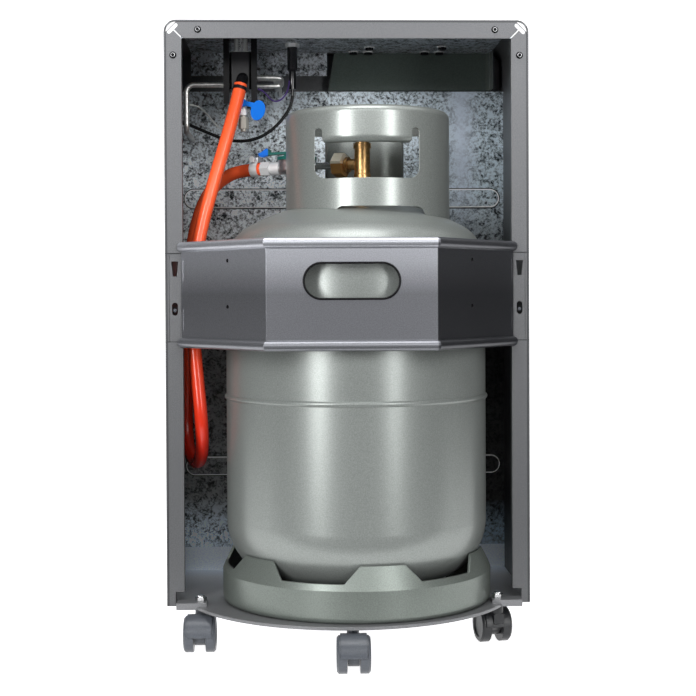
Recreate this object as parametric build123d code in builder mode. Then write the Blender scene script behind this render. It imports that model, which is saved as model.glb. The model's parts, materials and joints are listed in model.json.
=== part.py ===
from build123d import *
import math
import os

# Portable gas cabinet heater, seen from the rear with its gas cylinder in place.
# Millimetres. +Z up, Z = 0 is the floor, -Y faces the rear opening, +Y the radiant front.
# "Depth" is the distance in from the cabinet's rear plane, towards the front.

# ---- cabinet -------------------------------------------------------------------------------
cabinet_width = 414.0
cabinet_top = 710.0
cabinet_bottom = 46.0
sheet = 1.0
corner_radius = 14.0
side_flange = 20.0
top_flange = 21.0
foot_flange = 10.0
foot_flange_top = 62.0
return_depth = 12.0
front_flange = 14.0
notch_length = 15.0
notch_width = 4.2
notch_inset = 10.0
notch_slit = 1.4
strip_width = 13.0
strip_low = 346.0
strip_high = 446.0
strip_inset = 11.0
strip_step = 1.0
strip_slot_width = 8.0
strip_slot_foot = 4.5
strip_slot_low = 420.0
strip_slot_high = 437.0
strip_eye_height = 14.5
strip_eye_width = 6.5
strip_eye_z = 383.0

# ---- inner sheets --------------------------------------------------------------------------
liner_sheet = 0.8
rear_wall_gap = 13.0
chamber_depth = 32.0
rear_wall_top = 657.0
swage_height = 23.0
swage_rise = 3.0
swage_side_gap = 6.0
upper_swage_z = 521.0
lower_swage_z = 181.5
roof_plate_step = 13.0
roof_drop = 30.0
shield_bottom = 660.0
shield_left = -17.0
shield_slant = 8.0
shield_gap = 1.5

# ---- base tray and castors -------------------------------------------------------------------
tray_top = 49.0
tray_sheet = 1.2
tray_lip = 3.4
ear_rise = 4.0
ear_inner = 161.0
tray_ear_inset = 12.0
tray_ear_depth = -20.0
tongue_inset = 36.0
tongue_depth = -128.0
upstand_top = 78.0
castor_inset = 39.0
rear_castor_depth = -8.0
front_castor_inset = 20.0
tongue_castor_inset = 20.0
wheel_radius = 20.0
wheel_width = 10.9
wheel_gap = 13.8
wheel_dish = 1.6
wheel_chamfer = 2.0
wheel_rim_radius = 14.5
castor_trail = 17.0
hood_width = 28.0
hood_wall = 1.4
hood_clearance = 0.6
web_width = 12.0
axle_radius = 2.5
axle_fit = 0.05
stem_radius = 4.0
stem_fit = 0.05
stem_bottom = 29.0
stem_collar_radius = 5.8
stem_collar_bottom = 46.0
boss_radius = 6.6
swivel_gap = 0.4
nut_radius = 6.5
nut_height = 5.0
hole_clearance = 0.25

# ---- retaining bracket -----------------------------------------------------------------------
band_low = 340.0
band_high = 458.0
band_sheet = 1.2
band_facet_width = 98.5
band_overlap = 1.5
band_front_depth = -130.0
band_flange_gap = 1.2
bead_height = 10.0
hand_slot_width = 101.0
hand_slot_height = 37.8
hand_slot_z = 413.0
hand_slot_lip = 5.0
facet_hole_radius = 1.6
facet_hole_high = 436.0
facet_hole_low = 386.0
facet_hole_share = 0.435
lug_width = 18.0
lug_height = 24.0
lug_gap = 0.4
stud_radius = 3.0
stud_depth = 7.0
stud_high = 426.0
stud_low = 371.0
stud_slot_clearance = 0.2
stud_head_radius = 4.5
stud_head = 2.0

# ---- gas cylinder ----------------------------------------------------------------------------
vessel_radius = 150.0
vessel_x = 10.0
vessel_depth = 37.0
vessel_wall = 3.0
shoulder_z = 433.5
shoulder_rise = 75.0
shoulder_knuckle = 50.0
base_shoulder_z = 141.5
base_drop = 74.0
base_knuckle = 70.0
weld_z = 282.0
weld_rise = 2.2
weld_height = 6.0
bung_radius = 17.0
bung_top = 520.0
bung_bore = 9.5
ring_radius = 155.0
ring_wall = 3.0
ring_top = 108.5
ring_roll = 6.0
ring_bend_z = 84.0
ring_cut_low = 91.0
ring_cut_count = 6
ring_tab_angle = 9.0
ring_cut_half_low = 13.4
ring_cut_half_high = 19.5
collar_shift = 14.7
collar_radius = 94.6
collar_wall = 3.0
collar_rim = 8.0
collar_top = 608.0
collar_foot = 473.0
window_low = 527.0
window_high = 574.0
window_ear_top = 583.0
window_ear_width = 8.0
window_left_reach = 62.0
window_right_reach = 53.6
window_corner = 12.0
grip_roll = 6.0
far_window_low = 520.0
far_window_high = 590.0
far_window_width = 82.0
far_window_angle = 56.0
drain_shift = 10.0
drain_half = 50.0
drain_height = 9.0
drain_z = 487.0

# ---- cylinder valve and regulator --------------------------------------------------------------
valve_shift = 8.6
valve_radius = 9.2
valve_flange_radius = 10.0
valve_collar_radius = 10.4
valve_flange_height = 18.0
nut_turn = 15.0
valve_top = 582.0
outlet_z = 550.0
outlet_angle = 28.0
outlet_neck_radius = 6.5
outlet_ring_radius = 9.0
nut_start = 22.0
nut_length = 14.0
nut_across = 25.5
stem_rod_radius = 4.2
reg_centre = 86.0
reg_radius = 22.0
reg_body_height = 16.0
reg_bonnet_height = 7.6
tail_end = 133.0
tail_radius = 7.8
tail_start = 108.0
handwheel_radius = 28.0
handwheel_height = 14.0
handwheel_low = 585.0
spindle_radius = 4.0
lever_length = 50.0
lever_sheet = 3.0
boss_reach = 3.0
wing_length = 14.0
wing_rise = 8.2
wing_dip = 2.2

# ---- gas hose ------------------------------------------------------------------------------------
hose_diameter = 15.5
hose_sides = 12
clip_width = 10.0
slim_clip_width = 4.0
screw_rise = 2.4
screw_drum = 3.6
clip_band = 0.9
clip_offset = 4.0
clip_gap = 0.3

# ---- control valve, pipes, igniter ---------------------------------------------------------------
control_inset = 82.7
control_depth = 108.0
valve_block_width = 25.0
valve_block_depth = 32.0
valve_block_low = 645.0
valve_block_high = 690.0
post_radius = 2.8
post_spread = 5.6
plate_low = 626.6
plate_width = 7.0
plate_sheet = 1.5
plate_spread = 26.0
plate_depth = 44.0
elbow_radius = 6.6
elbow_lead = 9.0
elbow_bend = 7.0
pipe_radius = 3.3
thin_pipe_radius = 2.0
pipe_bend = 9.0
main_pipe_depth = 108.0
main_pipe_z = 660.0
pilot_pipe_depth = 116.0
pilot_pipe_z = 651.5
feed_reach = 42.0
side_pipe_z = 652.0
side_pipe_drop = 56.0
side_pipe_inset = 17.0
igniter_inset = 144.5
igniter_depth = 146.0
igniter_radius = 6.3
igniter_low_radius = 4.3
igniter_nut_radius = 8.0
button_radius = 7.0
button_height = 3.0
button_stem = 14.0
button_fit = 0.2
igniter_rim = 1.5
igniter_barrel = 36.0
igniter_shank = 22.0
igniter_pin = 8.0
igniter_pin_radius = 1.8
button_travel = 5.0
button_stem_radius = 3.0
control_spindle_radius = 2.5
knob_radius = 19.0
knob_height = 15.0
knob_gap = 0.8
knob_flutes = 12
tap_shift = 3.5
tap_depth = 91.0
tap_z = 627.0
tap_drop = 51.0
tap_radius = 5.6
tap_shaft_radius = 3.4
tap_nut_drop = 7.0
tap_nut_height = 7.0
lead_diameter = 4.0
lead_sides = 6

# ---- radiant front -----------------------------------------------------------------------------
fascia_sheet = 1.2
fascia_gap = 3.0
fire_side = 42.0
fire_low = 300.0
fire_high = 610.0
fire_depth = 24.0
fire_corner = 8.0
frame_width = 8.0
frame_rise = 3.0
rib_z = 160.0
rib_pitch = 50.0
rib_count = 3
rib_height = 14.0
rib_rise = 2.0
plaque_gap = 6.0
plaque_side = 15.0
plaque_height = 140.0
plaque_thickness = 12.0
plaque_z = 460.0
manifold_radius = 6.0
manifold_rise = 22.0
manifold_end = 10.0
jet_radius = 4.5
jet_height = 14.0
pilot_z = 360.0
pilot_width = 44.0
pilot_height = 12.0
guard_reach = 26.0
guard_wire = 1.6
guard_rail = 2.4
guard_bend = 10.0
guard_count = 15
guard_sides = 6
guard_overlap = 15.0
guard_side_overlap = 7.0
guard_rail_inset = 30.0
guard_rail_end = 4.0

# ---- fasteners -------------------------------------------------------------------------------------
screw_radius = 4.0
screw_head = 2.2
top_screw_inset = 38.5
top_screw_drop = 11.0
side_screw_inset = 10.5
side_screw_drop = 40.0
bolt_radius = 5.0
bolt_head = 3.5
bolt_places = ((15, 8), (34, 43), (34, 8), (106, 8), (125, 48), (125, 8))

# ---- worked out from the driving sizes -----------------------------------------------------------
rear_wall_depth = vessel_depth + vessel_radius + rear_wall_gap
cabinet_depth = rear_wall_depth + chamber_depth
roof_plate_depth = rear_wall_depth + roof_plate_step
outline_half = cabinet_width / 2
inner_half = outline_half - sheet
opening_half = outline_half - side_flange
roof_under = cabinet_top - sheet
tray_ear_half = outline_half - tray_ear_inset
tongue_half = outline_half - tongue_inset
ear_top = tray_top + ear_rise
castor_x = outline_half - castor_inset
front_castor_depth = cabinet_depth - front_castor_inset
tongue_castor_depth = tongue_depth + tongue_castor_inset
band_end_half = opening_half + band_overlap
band_front_half = band_end_half - band_facet_width
collar_x = vessel_x + collar_shift
valve_x = vessel_x + valve_shift
control_x = control_inset - outline_half
igniter_x = igniter_inset - outline_half
tap_x = control_x + tap_shift
fire_width = cabinet_width - 2 * fire_side
fire_height = fire_high - fire_low
fire_middle = (fire_low + fire_high) / 2
plaque_width = (fire_width - 2 * plaque_side - 2 * plaque_gap) / 3
plaque_pitch = plaque_width + plaque_gap
guard_low = fire_low - guard_overlap
guard_high = fire_high + guard_overlap
guard_half = fire_width / 2 + guard_side_overlap
flat_share = math.cos(math.pi / guard_sides)
hood_inner = wheel_radius + hood_clearance
hood_outer = hood_inner + hood_wall
front_reach = cabinet_depth + fascia_sheet + guard_reach + guard_wire * flat_share
rear_reach = castor_trail + hood_outer - tongue_castor_depth
rear_y = (rear_reach - front_reach) / 2

os.makedirs("parts", exist_ok=True)


def finish(builder, name):
    """Labels a finished sub-part and writes it."""
    builder.part.label = name
    export_step(builder.part, f"parts/{name}.step")


def facing(depth):
    """Plane that faces the rear; positive extrusion comes out of the opening."""
    return Plane(origin=(0, rear_y + depth, 0), x_dir=(1, 0, 0), z_dir=(0, -1, 0))


def level(z, x=0.0, depth=0.0):
    """Horizontal plane at a height, centred on a place in plan."""
    return Plane(origin=(x, rear_y + depth, z), x_dir=(1, 0, 0), z_dir=(0, 0, 1))


def across(x):
    """Vertical plane that faces +X: local x runs to the front, local y runs up."""
    return Plane(origin=(x, rear_y, 0), x_dir=(0, 1, 0), z_dir=(1, 0, 0))


def point(x, depth, z):
    """Place in the object's frame from a sideways place, a depth and a height."""
    return Vector(x, rear_y + depth, z)


# ---- cabinet wrapper -----------------------------------------------------------------------------
mid_half = (cabinet_width - sheet) / 2
with BuildPart() as cabinet_wrapper:
    with BuildSketch(facing(0)):
        with BuildLine():
            FilletPolyline(
                (-mid_half, cabinet_bottom),
                (-mid_half, cabinet_top - sheet / 2),
                (mid_half, cabinet_top - sheet / 2),
                (mid_half, cabinet_bottom),
                radius=corner_radius - sheet / 2,
            )
        trace(line_width=sheet)
    extrude(amount=-cabinet_depth)
    # rear and front flanges turned inwards all round
    with BuildSketch(facing(0)):
        with BuildLine():
            rim = FilletPolyline(
                (-outline_half, cabinet_bottom),
                (-outline_half, cabinet_top),
                (outline_half, cabinet_top),
                (outline_half, cabinet_bottom),
                radius=corner_radius,
            )
            Line(rim @ 1, rim @ 0)
        make_face()
        with Locations((0, foot_flange_top)):
            Rectangle(
                2 * opening_half,
                cabinet_top - top_flange - foot_flange_top,
                align=(Align.CENTER, Align.MIN),
                mode=Mode.SUBTRACT,
            )
        with Locations((0, cabinet_bottom)):
            Rectangle(
                2 * (outline_half - foot_flange),
                foot_flange_top - cabinet_bottom,
                align=(Align.CENTER, Align.MIN),
                mode=Mode.SUBTRACT,
            )
        # mitre notches of the two top corners
        for side in (-1, 1):
            with Locations((side * (outline_half - notch_inset), cabinet_top - notch_inset)):
                SlotOverall(notch_length, notch_width, rotation=-45 * side, mode=Mode.SUBTRACT)
            with Locations(
                (side * (outline_half - notch_inset), cabinet_top - notch_inset)
            ):
                Rectangle(
                    2 * notch_inset,
                    notch_slit,
                    rotation=45 * side,
                    align=(Align.MAX if side > 0 else Align.MIN, Align.CENTER),
                    mode=Mode.SUBTRACT,
                )
    extrude(amount=-sheet)
    with BuildSketch(facing(cabinet_depth)):
        with BuildLine():
            rim = FilletPolyline(
                (-outline_half, cabinet_bottom),
                (-outline_half, cabinet_top),
                (outline_half, cabinet_top),
                (outline_half, cabinet_bottom),
                radius=corner_radius,
            )
            Line(rim @ 1, rim @ 0)
        make_face()
        with Locations((0, cabinet_bottom)):
            Rectangle(
                2 * (outline_half - front_flange),
                cabinet_top - cabinet_bottom - front_flange,
                align=(Align.CENTER, Align.MIN),
                mode=Mode.SUBTRACT,
            )
    extrude(amount=sheet)
    # inner returns of the rear flanges
    return_height = cabinet_top - top_flange - foot_flange_top
    with BuildSketch(level(foot_flange_top)):
        for side in (-1, 1):
            with Locations((side * (opening_half + sheet / 2), return_depth / 2)):
                Rectangle(sheet, return_depth)
    extrude(amount=return_height)
    # joggled strips with a tapered slot and an eye
    strip_x = outline_half - strip_inset
    strip_height = strip_high - strip_low
    for side in (-1, 1):
        with BuildSketch(facing(strip_step)):
            with Locations((side * strip_x, (strip_low + strip_high) / 2)):
                Rectangle(strip_width + 2 * sheet, strip_height + 2 * sheet)
        extrude(amount=-sheet)
        with BuildSketch(facing(0)):
            with Locations((side * strip_x, (strip_low + strip_high) / 2)):
                Rectangle(strip_width, strip_height)
        extrude(amount=-strip_step, mode=Mode.SUBTRACT)
        with BuildSketch(facing(0)):
            with BuildLine():
                Polyline(
                    (side * strip_x - strip_slot_width / 2, strip_slot_high),
                    (side * strip_x + strip_slot_width / 2, strip_slot_high),
                    (side * strip_x + strip_slot_foot / 2, strip_slot_low),
                    (side * strip_x - strip_slot_foot / 2, strip_slot_low),
                    close=True,
                )
            make_face()
            with Locations((side * strip_x, strip_eye_z)):
                SlotOverall(strip_eye_height, strip_eye_width, rotation=90)
        extrude(amount=-3 * sheet, mode=Mode.SUBTRACT)
    # openings in the roof for the knob's spindle and the igniter
    with BuildSketch(level(cabinet_top, control_x, control_depth)):
        Circle(control_spindle_radius + hole_clearance)
    extrude(amount=-3 * sheet, mode=Mode.SUBTRACT)
    with BuildSketch(level(cabinet_top, igniter_x, igniter_depth)):
        Circle(igniter_radius + hole_clearance)
    extrude(amount=-3 * sheet, mode=Mode.SUBTRACT)
    # bracket studs pass through the returns
    for side in (-1, 1):
        with BuildSketch(across(side * (opening_half - sheet))):
            with Locations((stud_depth, stud_high), (stud_depth, stud_low)):
                Circle(stud_radius - 0.5)
        extrude(amount=side * 3 * sheet, mode=Mode.SUBTRACT)
finish(cabinet_wrapper, "cabinet_wrapper")

# ---- roof liner: galvanised sheet under the roof, with corner ears and a rear drop ---------------
with BuildPart() as roof_liner:
    with BuildSketch(level(roof_under)):
        with Locations((0, sheet + 0.2)):
            Rectangle(
                2 * (inner_half - corner_radius),
                roof_plate_depth - sheet,
                align=(Align.CENTER, Align.MIN),
            )
        with Locations((control_x, control_depth)):
            Circle(control_spindle_radius + hole_clearance, mode=Mode.SUBTRACT)
        with Locations((igniter_x, igniter_depth)):
            Circle(igniter_radius + hole_clearance, mode=Mode.SUBTRACT)
    extrude(amount=-liner_sheet)
    # ears that close the corner notches from inside
    ear_size = notch_inset + notch_length / 2
    with BuildSketch(facing(sheet)):
        for side in (-1, 1):
            with BuildLine():
                Polyline(
                    (side * (inner_half - corner_radius - 1), roof_under),
                    (side * (inner_half - 1), cabinet_top - corner_radius - 1),
                    (side * (inner_half - 1), cabinet_top - top_flange + 0.3),
                    (side * (inner_half - ear_size - 4), cabinet_top - top_flange + 0.3),
                    (side * (inner_half - ear_size - 4), roof_under),
                    close=True,
                )
            make_face()
    extrude(amount=-liner_sheet)
    # plate that hangs from the roof's inner end, left of the dark shield
    with BuildSketch(facing(roof_plate_depth)):
        with Locations((-inner_half + corner_radius, roof_under)):
            Rectangle(
                inner_half - corner_radius + shield_left - shield_gap,
                roof_drop,
                align=(Align.MIN, Align.MAX),
            )
    extrude(amount=-liner_sheet)
finish(roof_liner, "roof_liner")

# ---- upper heat shield ---------------------------------------------------------------------------
with BuildPart() as upper_heat_shield:
    with BuildSketch(facing(roof_plate_depth)):
        with BuildLine():
            Polyline(
                (shield_left + shield_slant, roof_under - liner_sheet),
                (inner_half - corner_radius, roof_under - liner_sheet),
                (inner_half - corner_radius, shield_bottom),
                (shield_left, shield_bottom),
                close=True,
            )
        make_face()
    extrude(amount=-sheet)
    # return turned towards the opening at the right end
    with BuildSketch(level(shield_bottom)):
        with Locations((inner_half - corner_radius, roof_plate_depth + sheet)):
            Rectangle(sheet, 26, align=(Align.MAX, Align.MAX))
    extrude(amount=roof_under - liner_sheet - shield_bottom)
finish(upper_heat_shield, "upper_heat_shield")

# ---- rear wall of the fire chamber: galvanised, with pressed swages --------------------------------
swage_length = 2 * (inner_half - swage_side_gap)
with BuildPart() as rear_wall:
    with BuildSketch(facing(rear_wall_depth)):
        with Locations((0, tray_top)):
            Rectangle(2 * inner_half, rear_wall_top - tray_top, align=(Align.CENTER, Align.MIN))
    extrude(amount=-liner_sheet)
    with BuildSketch(facing(rear_wall_depth)):
        with Locations((0, upper_swage_z), (0, lower_swage_z)):
            SlotOverall(swage_length, swage_height)
    extrude(amount=swage_rise)
    with BuildSketch(facing(rear_wall_depth + liner_sheet)):
        with Locations((0, upper_swage_z), (0, lower_swage_z)):
            SlotOverall(swage_length - 2 * liner_sheet, swage_height - 2 * liner_sheet)
    extrude(amount=swage_rise, mode=Mode.SUBTRACT)
    # top edge turned to the front to stiffen it
    with BuildSketch(facing(rear_wall_depth)):
        with Locations((0, rear_wall_top)):
            Rectangle(2 * inner_half, liner_sheet, align=(Align.CENTER, Align.MAX))
    extrude(amount=-10)
finish(rear_wall, "rear_wall")

# ---- base tray -----------------------------------------------------------------------------------
castor_places = [
    ("rear_left", -castor_x, rear_castor_depth, -90),
    ("rear_right", castor_x, rear_castor_depth, 102),
    ("tongue", 0.0, tongue_castor_depth, -90),
    ("front_left", -castor_x, front_castor_depth, 90),
    ("front_right", castor_x, front_castor_depth, 90),
]
with BuildPart() as base_tray:
    with BuildSketch(level(tray_top)) as tray_plan:
        with BuildLine():
            Polyline(
                (-tongue_half, tray_ear_depth),
                (-ear_inner, tray_ear_depth),
                (-ear_inner, sheet),
                (-inner_half, sheet),
                (-inner_half, cabinet_depth - sheet),
                (inner_half, cabinet_depth - sheet),
                (inner_half, sheet),
                (ear_inner, sheet),
                (ear_inner, tray_ear_depth),
                (tongue_half, tray_ear_depth),
            )
            ThreePointArc(
                (tongue_half, tray_ear_depth),
                (0, tongue_depth),
                (-tongue_half, tray_ear_depth),
            )
        make_face()
    extrude(amount=-tray_lip)
    # raised ears that carry the rear castors
    for side in (-1, 1):
        with BuildSketch(level(ear_top)):
            with Locations((side * ear_inner, tray_ear_depth)):
                Rectangle(
                    tray_ear_half - ear_inner,
                    sheet - tray_ear_depth,
                    align=(Align.MIN if side > 0 else Align.MAX, Align.MIN),
                )
        extrude(amount=-ear_rise - tray_lip)
        with BuildSketch(level(ear_top - tray_sheet)):
            with Locations((side * (ear_inner + tray_sheet), tray_ear_depth + tray_sheet)):
                Rectangle(
                    tray_ear_half - ear_inner - 2 * tray_sheet,
                    sheet - tray_ear_depth - 2 * tray_sheet,
                    align=(Align.MIN if side > 0 else Align.MAX, Align.MIN),
                )
        extrude(amount=-ear_rise - tray_lip, mode=Mode.SUBTRACT)
    with BuildSketch(level(tray_top - tray_sheet)):
        add(tray_plan.sketch_local)
        offset(amount=-tray_sheet, mode=Mode.REPLACE)
    extrude(amount=-tray_lip, mode=Mode.SUBTRACT)
    with BuildSketch(level(ear_top)):
        for _, x, depth, _ in castor_places:
            with Locations((x, depth)):
                Circle(stem_radius + hole_clearance)
    extrude(amount=-ear_rise - tray_lip, mode=Mode.SUBTRACT)
    # upstand that the rear wall stands behind
    with BuildSketch(facing(rear_wall_depth - tray_sheet)):
        with Locations((0, tray_top)):
            Rectangle(2 * inner_half, upstand_top - tray_top, align=(Align.CENTER, Align.MIN))
    extrude(amount=-tray_sheet)
finish(base_tray, "base_tray")

# ---- castors -------------------------------------------------------------------------------------
with BuildPart() as castor_stems:
    for name, x, depth, _ in castor_places:
        flush = name == "tongue"
        plate_top = ear_top if name.startswith("rear") else tray_top
        stem_top = plate_top if flush else plate_top + nut_height + 2
        with BuildSketch(level(stem_bottom, x, depth)):
            Circle(stem_radius)
        extrude(amount=stem_top - stem_bottom)
        with BuildSketch(level(stem_collar_bottom, x, depth)):
            Circle(stem_collar_radius)
        extrude(amount=plate_top - tray_sheet - stem_collar_bottom)
finish(castor_stems, "castor_stems")

with BuildPart() as castor_nuts:
    for name, x, depth, _ in castor_places:
        if name != "tongue":
            plate_top = ear_top if name.startswith("rear") else tray_top
            with BuildSketch(level(plate_top, x, depth)):
                RegularPolygon(nut_radius, 6)
                Circle(stem_radius, mode=Mode.SUBTRACT)
            extrude(amount=nut_height)
finish(castor_nuts, "castor_nuts")


def make_castor(name, x, depth, heading):
    """Twin-wheel castor: hood with its web, axle and two wheels, trailing along a heading."""
    trail = Vector(math.cos(math.radians(heading)), math.sin(math.radians(heading)), 0)
    side_plane = Plane(
        origin=point(x, depth, 0), x_dir=trail, z_dir=trail.cross(Vector(0, 0, 1))
    )
    with BuildPart() as housing:
        with BuildSketch(side_plane):
            with Locations((castor_trail, wheel_radius)):
                Circle(hood_outer)
                Circle(hood_inner, mode=Mode.SUBTRACT)
                Rectangle(60, 40, align=(Align.CENTER, Align.MAX), mode=Mode.SUBTRACT)
        extrude(amount=hood_width / 2, both=True)
        with BuildSketch(side_plane):
            with Locations((castor_trail, wheel_radius)):
                Circle(wheel_radius * 0.62)
            with BuildLine():
                Polyline(
                    (-boss_radius, wheel_radius + 5),
                    (-boss_radius, wheel_radius + hood_inner * 0.75),
                    (castor_trail, wheel_radius + hood_inner + hood_wall / 2),
                    (castor_trail + 4, wheel_radius),
                    (castor_trail - 8, wheel_radius - 8),
                    close=True,
                )
            make_face()
        extrude(amount=web_width / 2, both=True)
        with BuildSketch(level(wheel_radius + 4, x, depth)):
            Circle(boss_radius)
        extrude(amount=stem_collar_bottom - swivel_gap - wheel_radius - 4)
        with BuildSketch(level(stem_bottom - swivel_gap, x, depth)):
            Circle(stem_radius + stem_fit)
        extrude(amount=40, mode=Mode.SUBTRACT)
        with BuildSketch(side_plane):
            with Locations((castor_trail, wheel_radius)):
                Circle(axle_radius + axle_fit)
        extrude(amount=web_width, both=True, mode=Mode.SUBTRACT)
    finish(housing, f"castor_housing_{name}")

    axle_half = wheel_gap / 2 + wheel_width - 2.5
    with BuildPart() as axle:
        with BuildSketch(side_plane):
            with Locations((castor_trail, wheel_radius)):
                Circle(axle_radius)
        extrude(amount=axle_half, both=True)
    finish(axle, f"castor_axle_{name}")

    hub_axis = Plane(
        origin=point(x, depth, wheel_radius) + trail * castor_trail,
        x_dir=side_plane.z_dir,
        z_dir=Vector(0, 0, 1),
    )
    inner = wheel_gap / 2
    outer = inner + wheel_width
    with BuildPart() as wheels:
        for side in (-1, 1):
            with BuildSketch(hub_axis) as profile:
                with BuildLine():
                    Polyline(
                        (side * inner, axle_radius + axle_fit),
                        (side * inner, wheel_radius),
                        (side * (outer - wheel_chamfer), wheel_radius),
                        (side * outer, wheel_radius - wheel_chamfer),
                        (side * outer, wheel_rim_radius),
                        (side * (outer - wheel_dish), wheel_rim_radius - wheel_dish),
                        (side * (outer - wheel_dish), 0),
                        (side * (axle_half + 0.3), 0),
                        (side * (axle_half + 0.3), axle_radius + axle_fit),
                        close=True,
                    )
                make_face()
            revolve(axis=Axis(hub_axis.origin, hub_axis.x_dir))
    finish(wheels, f"castor_wheels_{name}")


for castor_name, castor_px, castor_depth, castor_heading in castor_places:
    make_castor(castor_name, castor_px, castor_depth, castor_heading)

# ---- retaining bracket -----------------------------------------------------------------------------
facet_run = band_end_half - band_front_half
facet_rise = -band_flange_gap - band_front_depth
band_reach = 30.0
with BuildPart() as retaining_bracket:
    # flat of the band: a closed five-sided wall, opened along the cabinet
    overrun = facet_run * band_reach / facet_rise
    with BuildSketch(level(band_low + bead_height)):
        with BuildLine():
            Polyline(
                (-band_end_half - overrun, band_reach - band_flange_gap),
                (-band_front_half, band_front_depth),
                (band_front_half, band_front_depth),
                (band_end_half + overrun, band_reach - band_flange_gap),
                close=True,
            )
        make_face()
        offset(amount=-band_sheet, mode=Mode.SUBTRACT)
    extrude(amount=band_high - band_low - 2 * bead_height)
    with BuildSketch(level(band_low, 0, -band_flange_gap)):
        Rectangle(4 * band_end_half, 2 * band_reach, align=(Align.CENTER, Align.MIN))
    extrude(amount=band_high - band_low, mode=Mode.SUBTRACT)
    # rolled beads along both edges
    for bead_z in (band_low + bead_height / 2, band_high - bead_height / 2):
        with BuildLine():
            bead_path = Polyline(
                point(-band_end_half, -band_flange_gap, bead_z),
                point(-band_front_half, band_front_depth, bead_z),
                point(band_front_half, band_front_depth, bead_z),
                point(band_end_half, -band_flange_gap, bead_z),
            )
        start = bead_path % 0
        with BuildSketch(
            Plane(origin=bead_path @ 0, x_dir=Vector(0, 0, 1).cross(start), z_dir=start)
        ):
            with BuildLine():
                ThreePointArc(
                    (band_sheet / 2, -bead_height / 2),
                    (-bead_height / 2, 0),
                    (band_sheet / 2, bead_height / 2),
                )
            trace(line_width=band_sheet)
        sweep(path=bead_path, transition=Transition.RIGHT)
    # hand slot with a lip turned inwards
    with BuildSketch(facing(band_front_depth)):
        with Locations((0, hand_slot_z)):
            SlotOverall(hand_slot_width + 2 * band_sheet, hand_slot_height + 2 * band_sheet)
    extrude(amount=-hand_slot_lip)
    with BuildSketch(facing(band_front_depth - 2 * band_sheet)):
        with Locations((0, hand_slot_z)):
            SlotOverall(hand_slot_width, hand_slot_height)
    extrude(amount=-hand_slot_lip - 4 * band_sheet, mode=Mode.SUBTRACT)
    # two small holes in each facet
    for side in (-1, 1):
        facet_plane = Plane(
            origin=point(
                side * (band_front_half + facet_run * facet_hole_share),
                band_front_depth + facet_rise * facet_hole_share,
                0,
            ),
            x_dir=Vector(facet_run, side * facet_rise, 0).normalized(),
            z_dir=Vector(side * facet_rise, -facet_run, 0).normalized(),
        )
        with BuildSketch(facet_plane):
            with Locations((0, facet_hole_high), (0, facet_hole_low)):
                Circle(facet_hole_radius)
        extrude(amount=3 * band_sheet, both=True, mode=Mode.SUBTRACT)
    # lugs that hang on the cabinet's studs
    for side in (-1, 1):
        lug_face = opening_half - lug_gap
        with BuildSketch(across(side * lug_face)):
            for stud_z in (stud_high, stud_low):
                with Locations((-4.5, stud_z)):
                    Rectangle(lug_width, lug_height, align=(Align.MIN, Align.CENTER))
                with Locations((stud_depth, stud_z)):
                    Circle(stud_radius + stud_slot_clearance, mode=Mode.SUBTRACT)
                    Rectangle(
                        2 * (stud_radius + stud_slot_clearance),
                        lug_height,
                        align=(Align.CENTER, Align.MAX),
                        mode=Mode.SUBTRACT,
                    )
        extrude(amount=-side * band_sheet)
finish(retaining_bracket, "retaining_bracket")

with BuildPart() as bracket_studs:
    for side in (-1, 1):
        for stud_z in (stud_high, stud_low):
            with BuildSketch(across(side * opening_half)):
                with Locations((stud_depth, stud_z)):
                    Circle(stud_radius)
            extrude(amount=-side * (lug_gap * 2 + band_sheet))
            with BuildSketch(across(side * (opening_half - lug_gap * 2 - band_sheet))):
                with Locations((stud_depth, stud_z)):
                    Circle(stud_head_radius)
            extrude(amount=-side * stud_head)
            with BuildSketch(across(side * opening_half)):
                with Locations((stud_depth, stud_z)):
                    Circle(stud_radius - 0.5)
            extrude(amount=side * 2 * sheet)
finish(bracket_studs, "bracket_studs")

# ---- gas cylinder ------------------------------------------------------------------------------------
vessel_axis_plane = Plane(
    origin=point(vessel_x, vessel_depth, 0), x_dir=(1, 0, 0), z_dir=(0, -1, 0)
)
vessel_axis = Axis(point(vessel_x, vessel_depth, 0), (0, 0, 1))


def head_arcs(shoulder, rise, knuckle, inset):
    """Corner, junction and apex of a dished head: a knuckle arc tangent to a crown arc.

    A negative rise gives a head that dips below its shoulder.
    """
    sign = math.copysign(1, rise)
    height = abs(rise)
    spread = vessel_radius - knuckle
    crown = (height**2 - knuckle**2 + spread**2) / (2 * (height - knuckle))
    lean = math.asin(spread / (crown - knuckle))
    small = knuckle - inset

    def on_knuckle(angle):
        return (spread + small * math.sin(angle), shoulder + sign * small * math.cos(angle))

    def on_crown(angle):
        reach = crown - inset
        centre = shoulder + rise - sign * crown
        return (reach * math.sin(angle), centre + sign * reach * math.cos(angle))

    return (
        on_knuckle(math.pi / 2),
        on_knuckle((math.pi / 2 + lean) / 2),
        on_knuckle(lean),
        on_crown(lean / 2),
        on_crown(0),
    )


def vessel_profile(inset, ribbed):
    """Half section of the vessel, drawn in by an inset."""
    radius = vessel_radius - inset
    top = head_arcs(shoulder_z, shoulder_rise, shoulder_knuckle, inset)
    base = head_arcs(base_shoulder_z, -base_drop, base_knuckle, inset)
    with BuildLine() as outline:
        ThreePointArc(*top[:3])
        ThreePointArc(*top[2:])
        if ribbed:
            Line(top[0], (radius, weld_z + weld_height / 2))
            ThreePointArc(
                (radius, weld_z + weld_height / 2),
                (radius + weld_rise, weld_z),
                (radius, weld_z - weld_height / 2),
            )
            Line((radius, weld_z - weld_height / 2), base[0])
        else:
            Line(top[0], base[0])
        ThreePointArc(*base[:3])
        ThreePointArc(*base[2:])
        Line(base[4], top[4])
    make_face(outline.edges())


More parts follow.
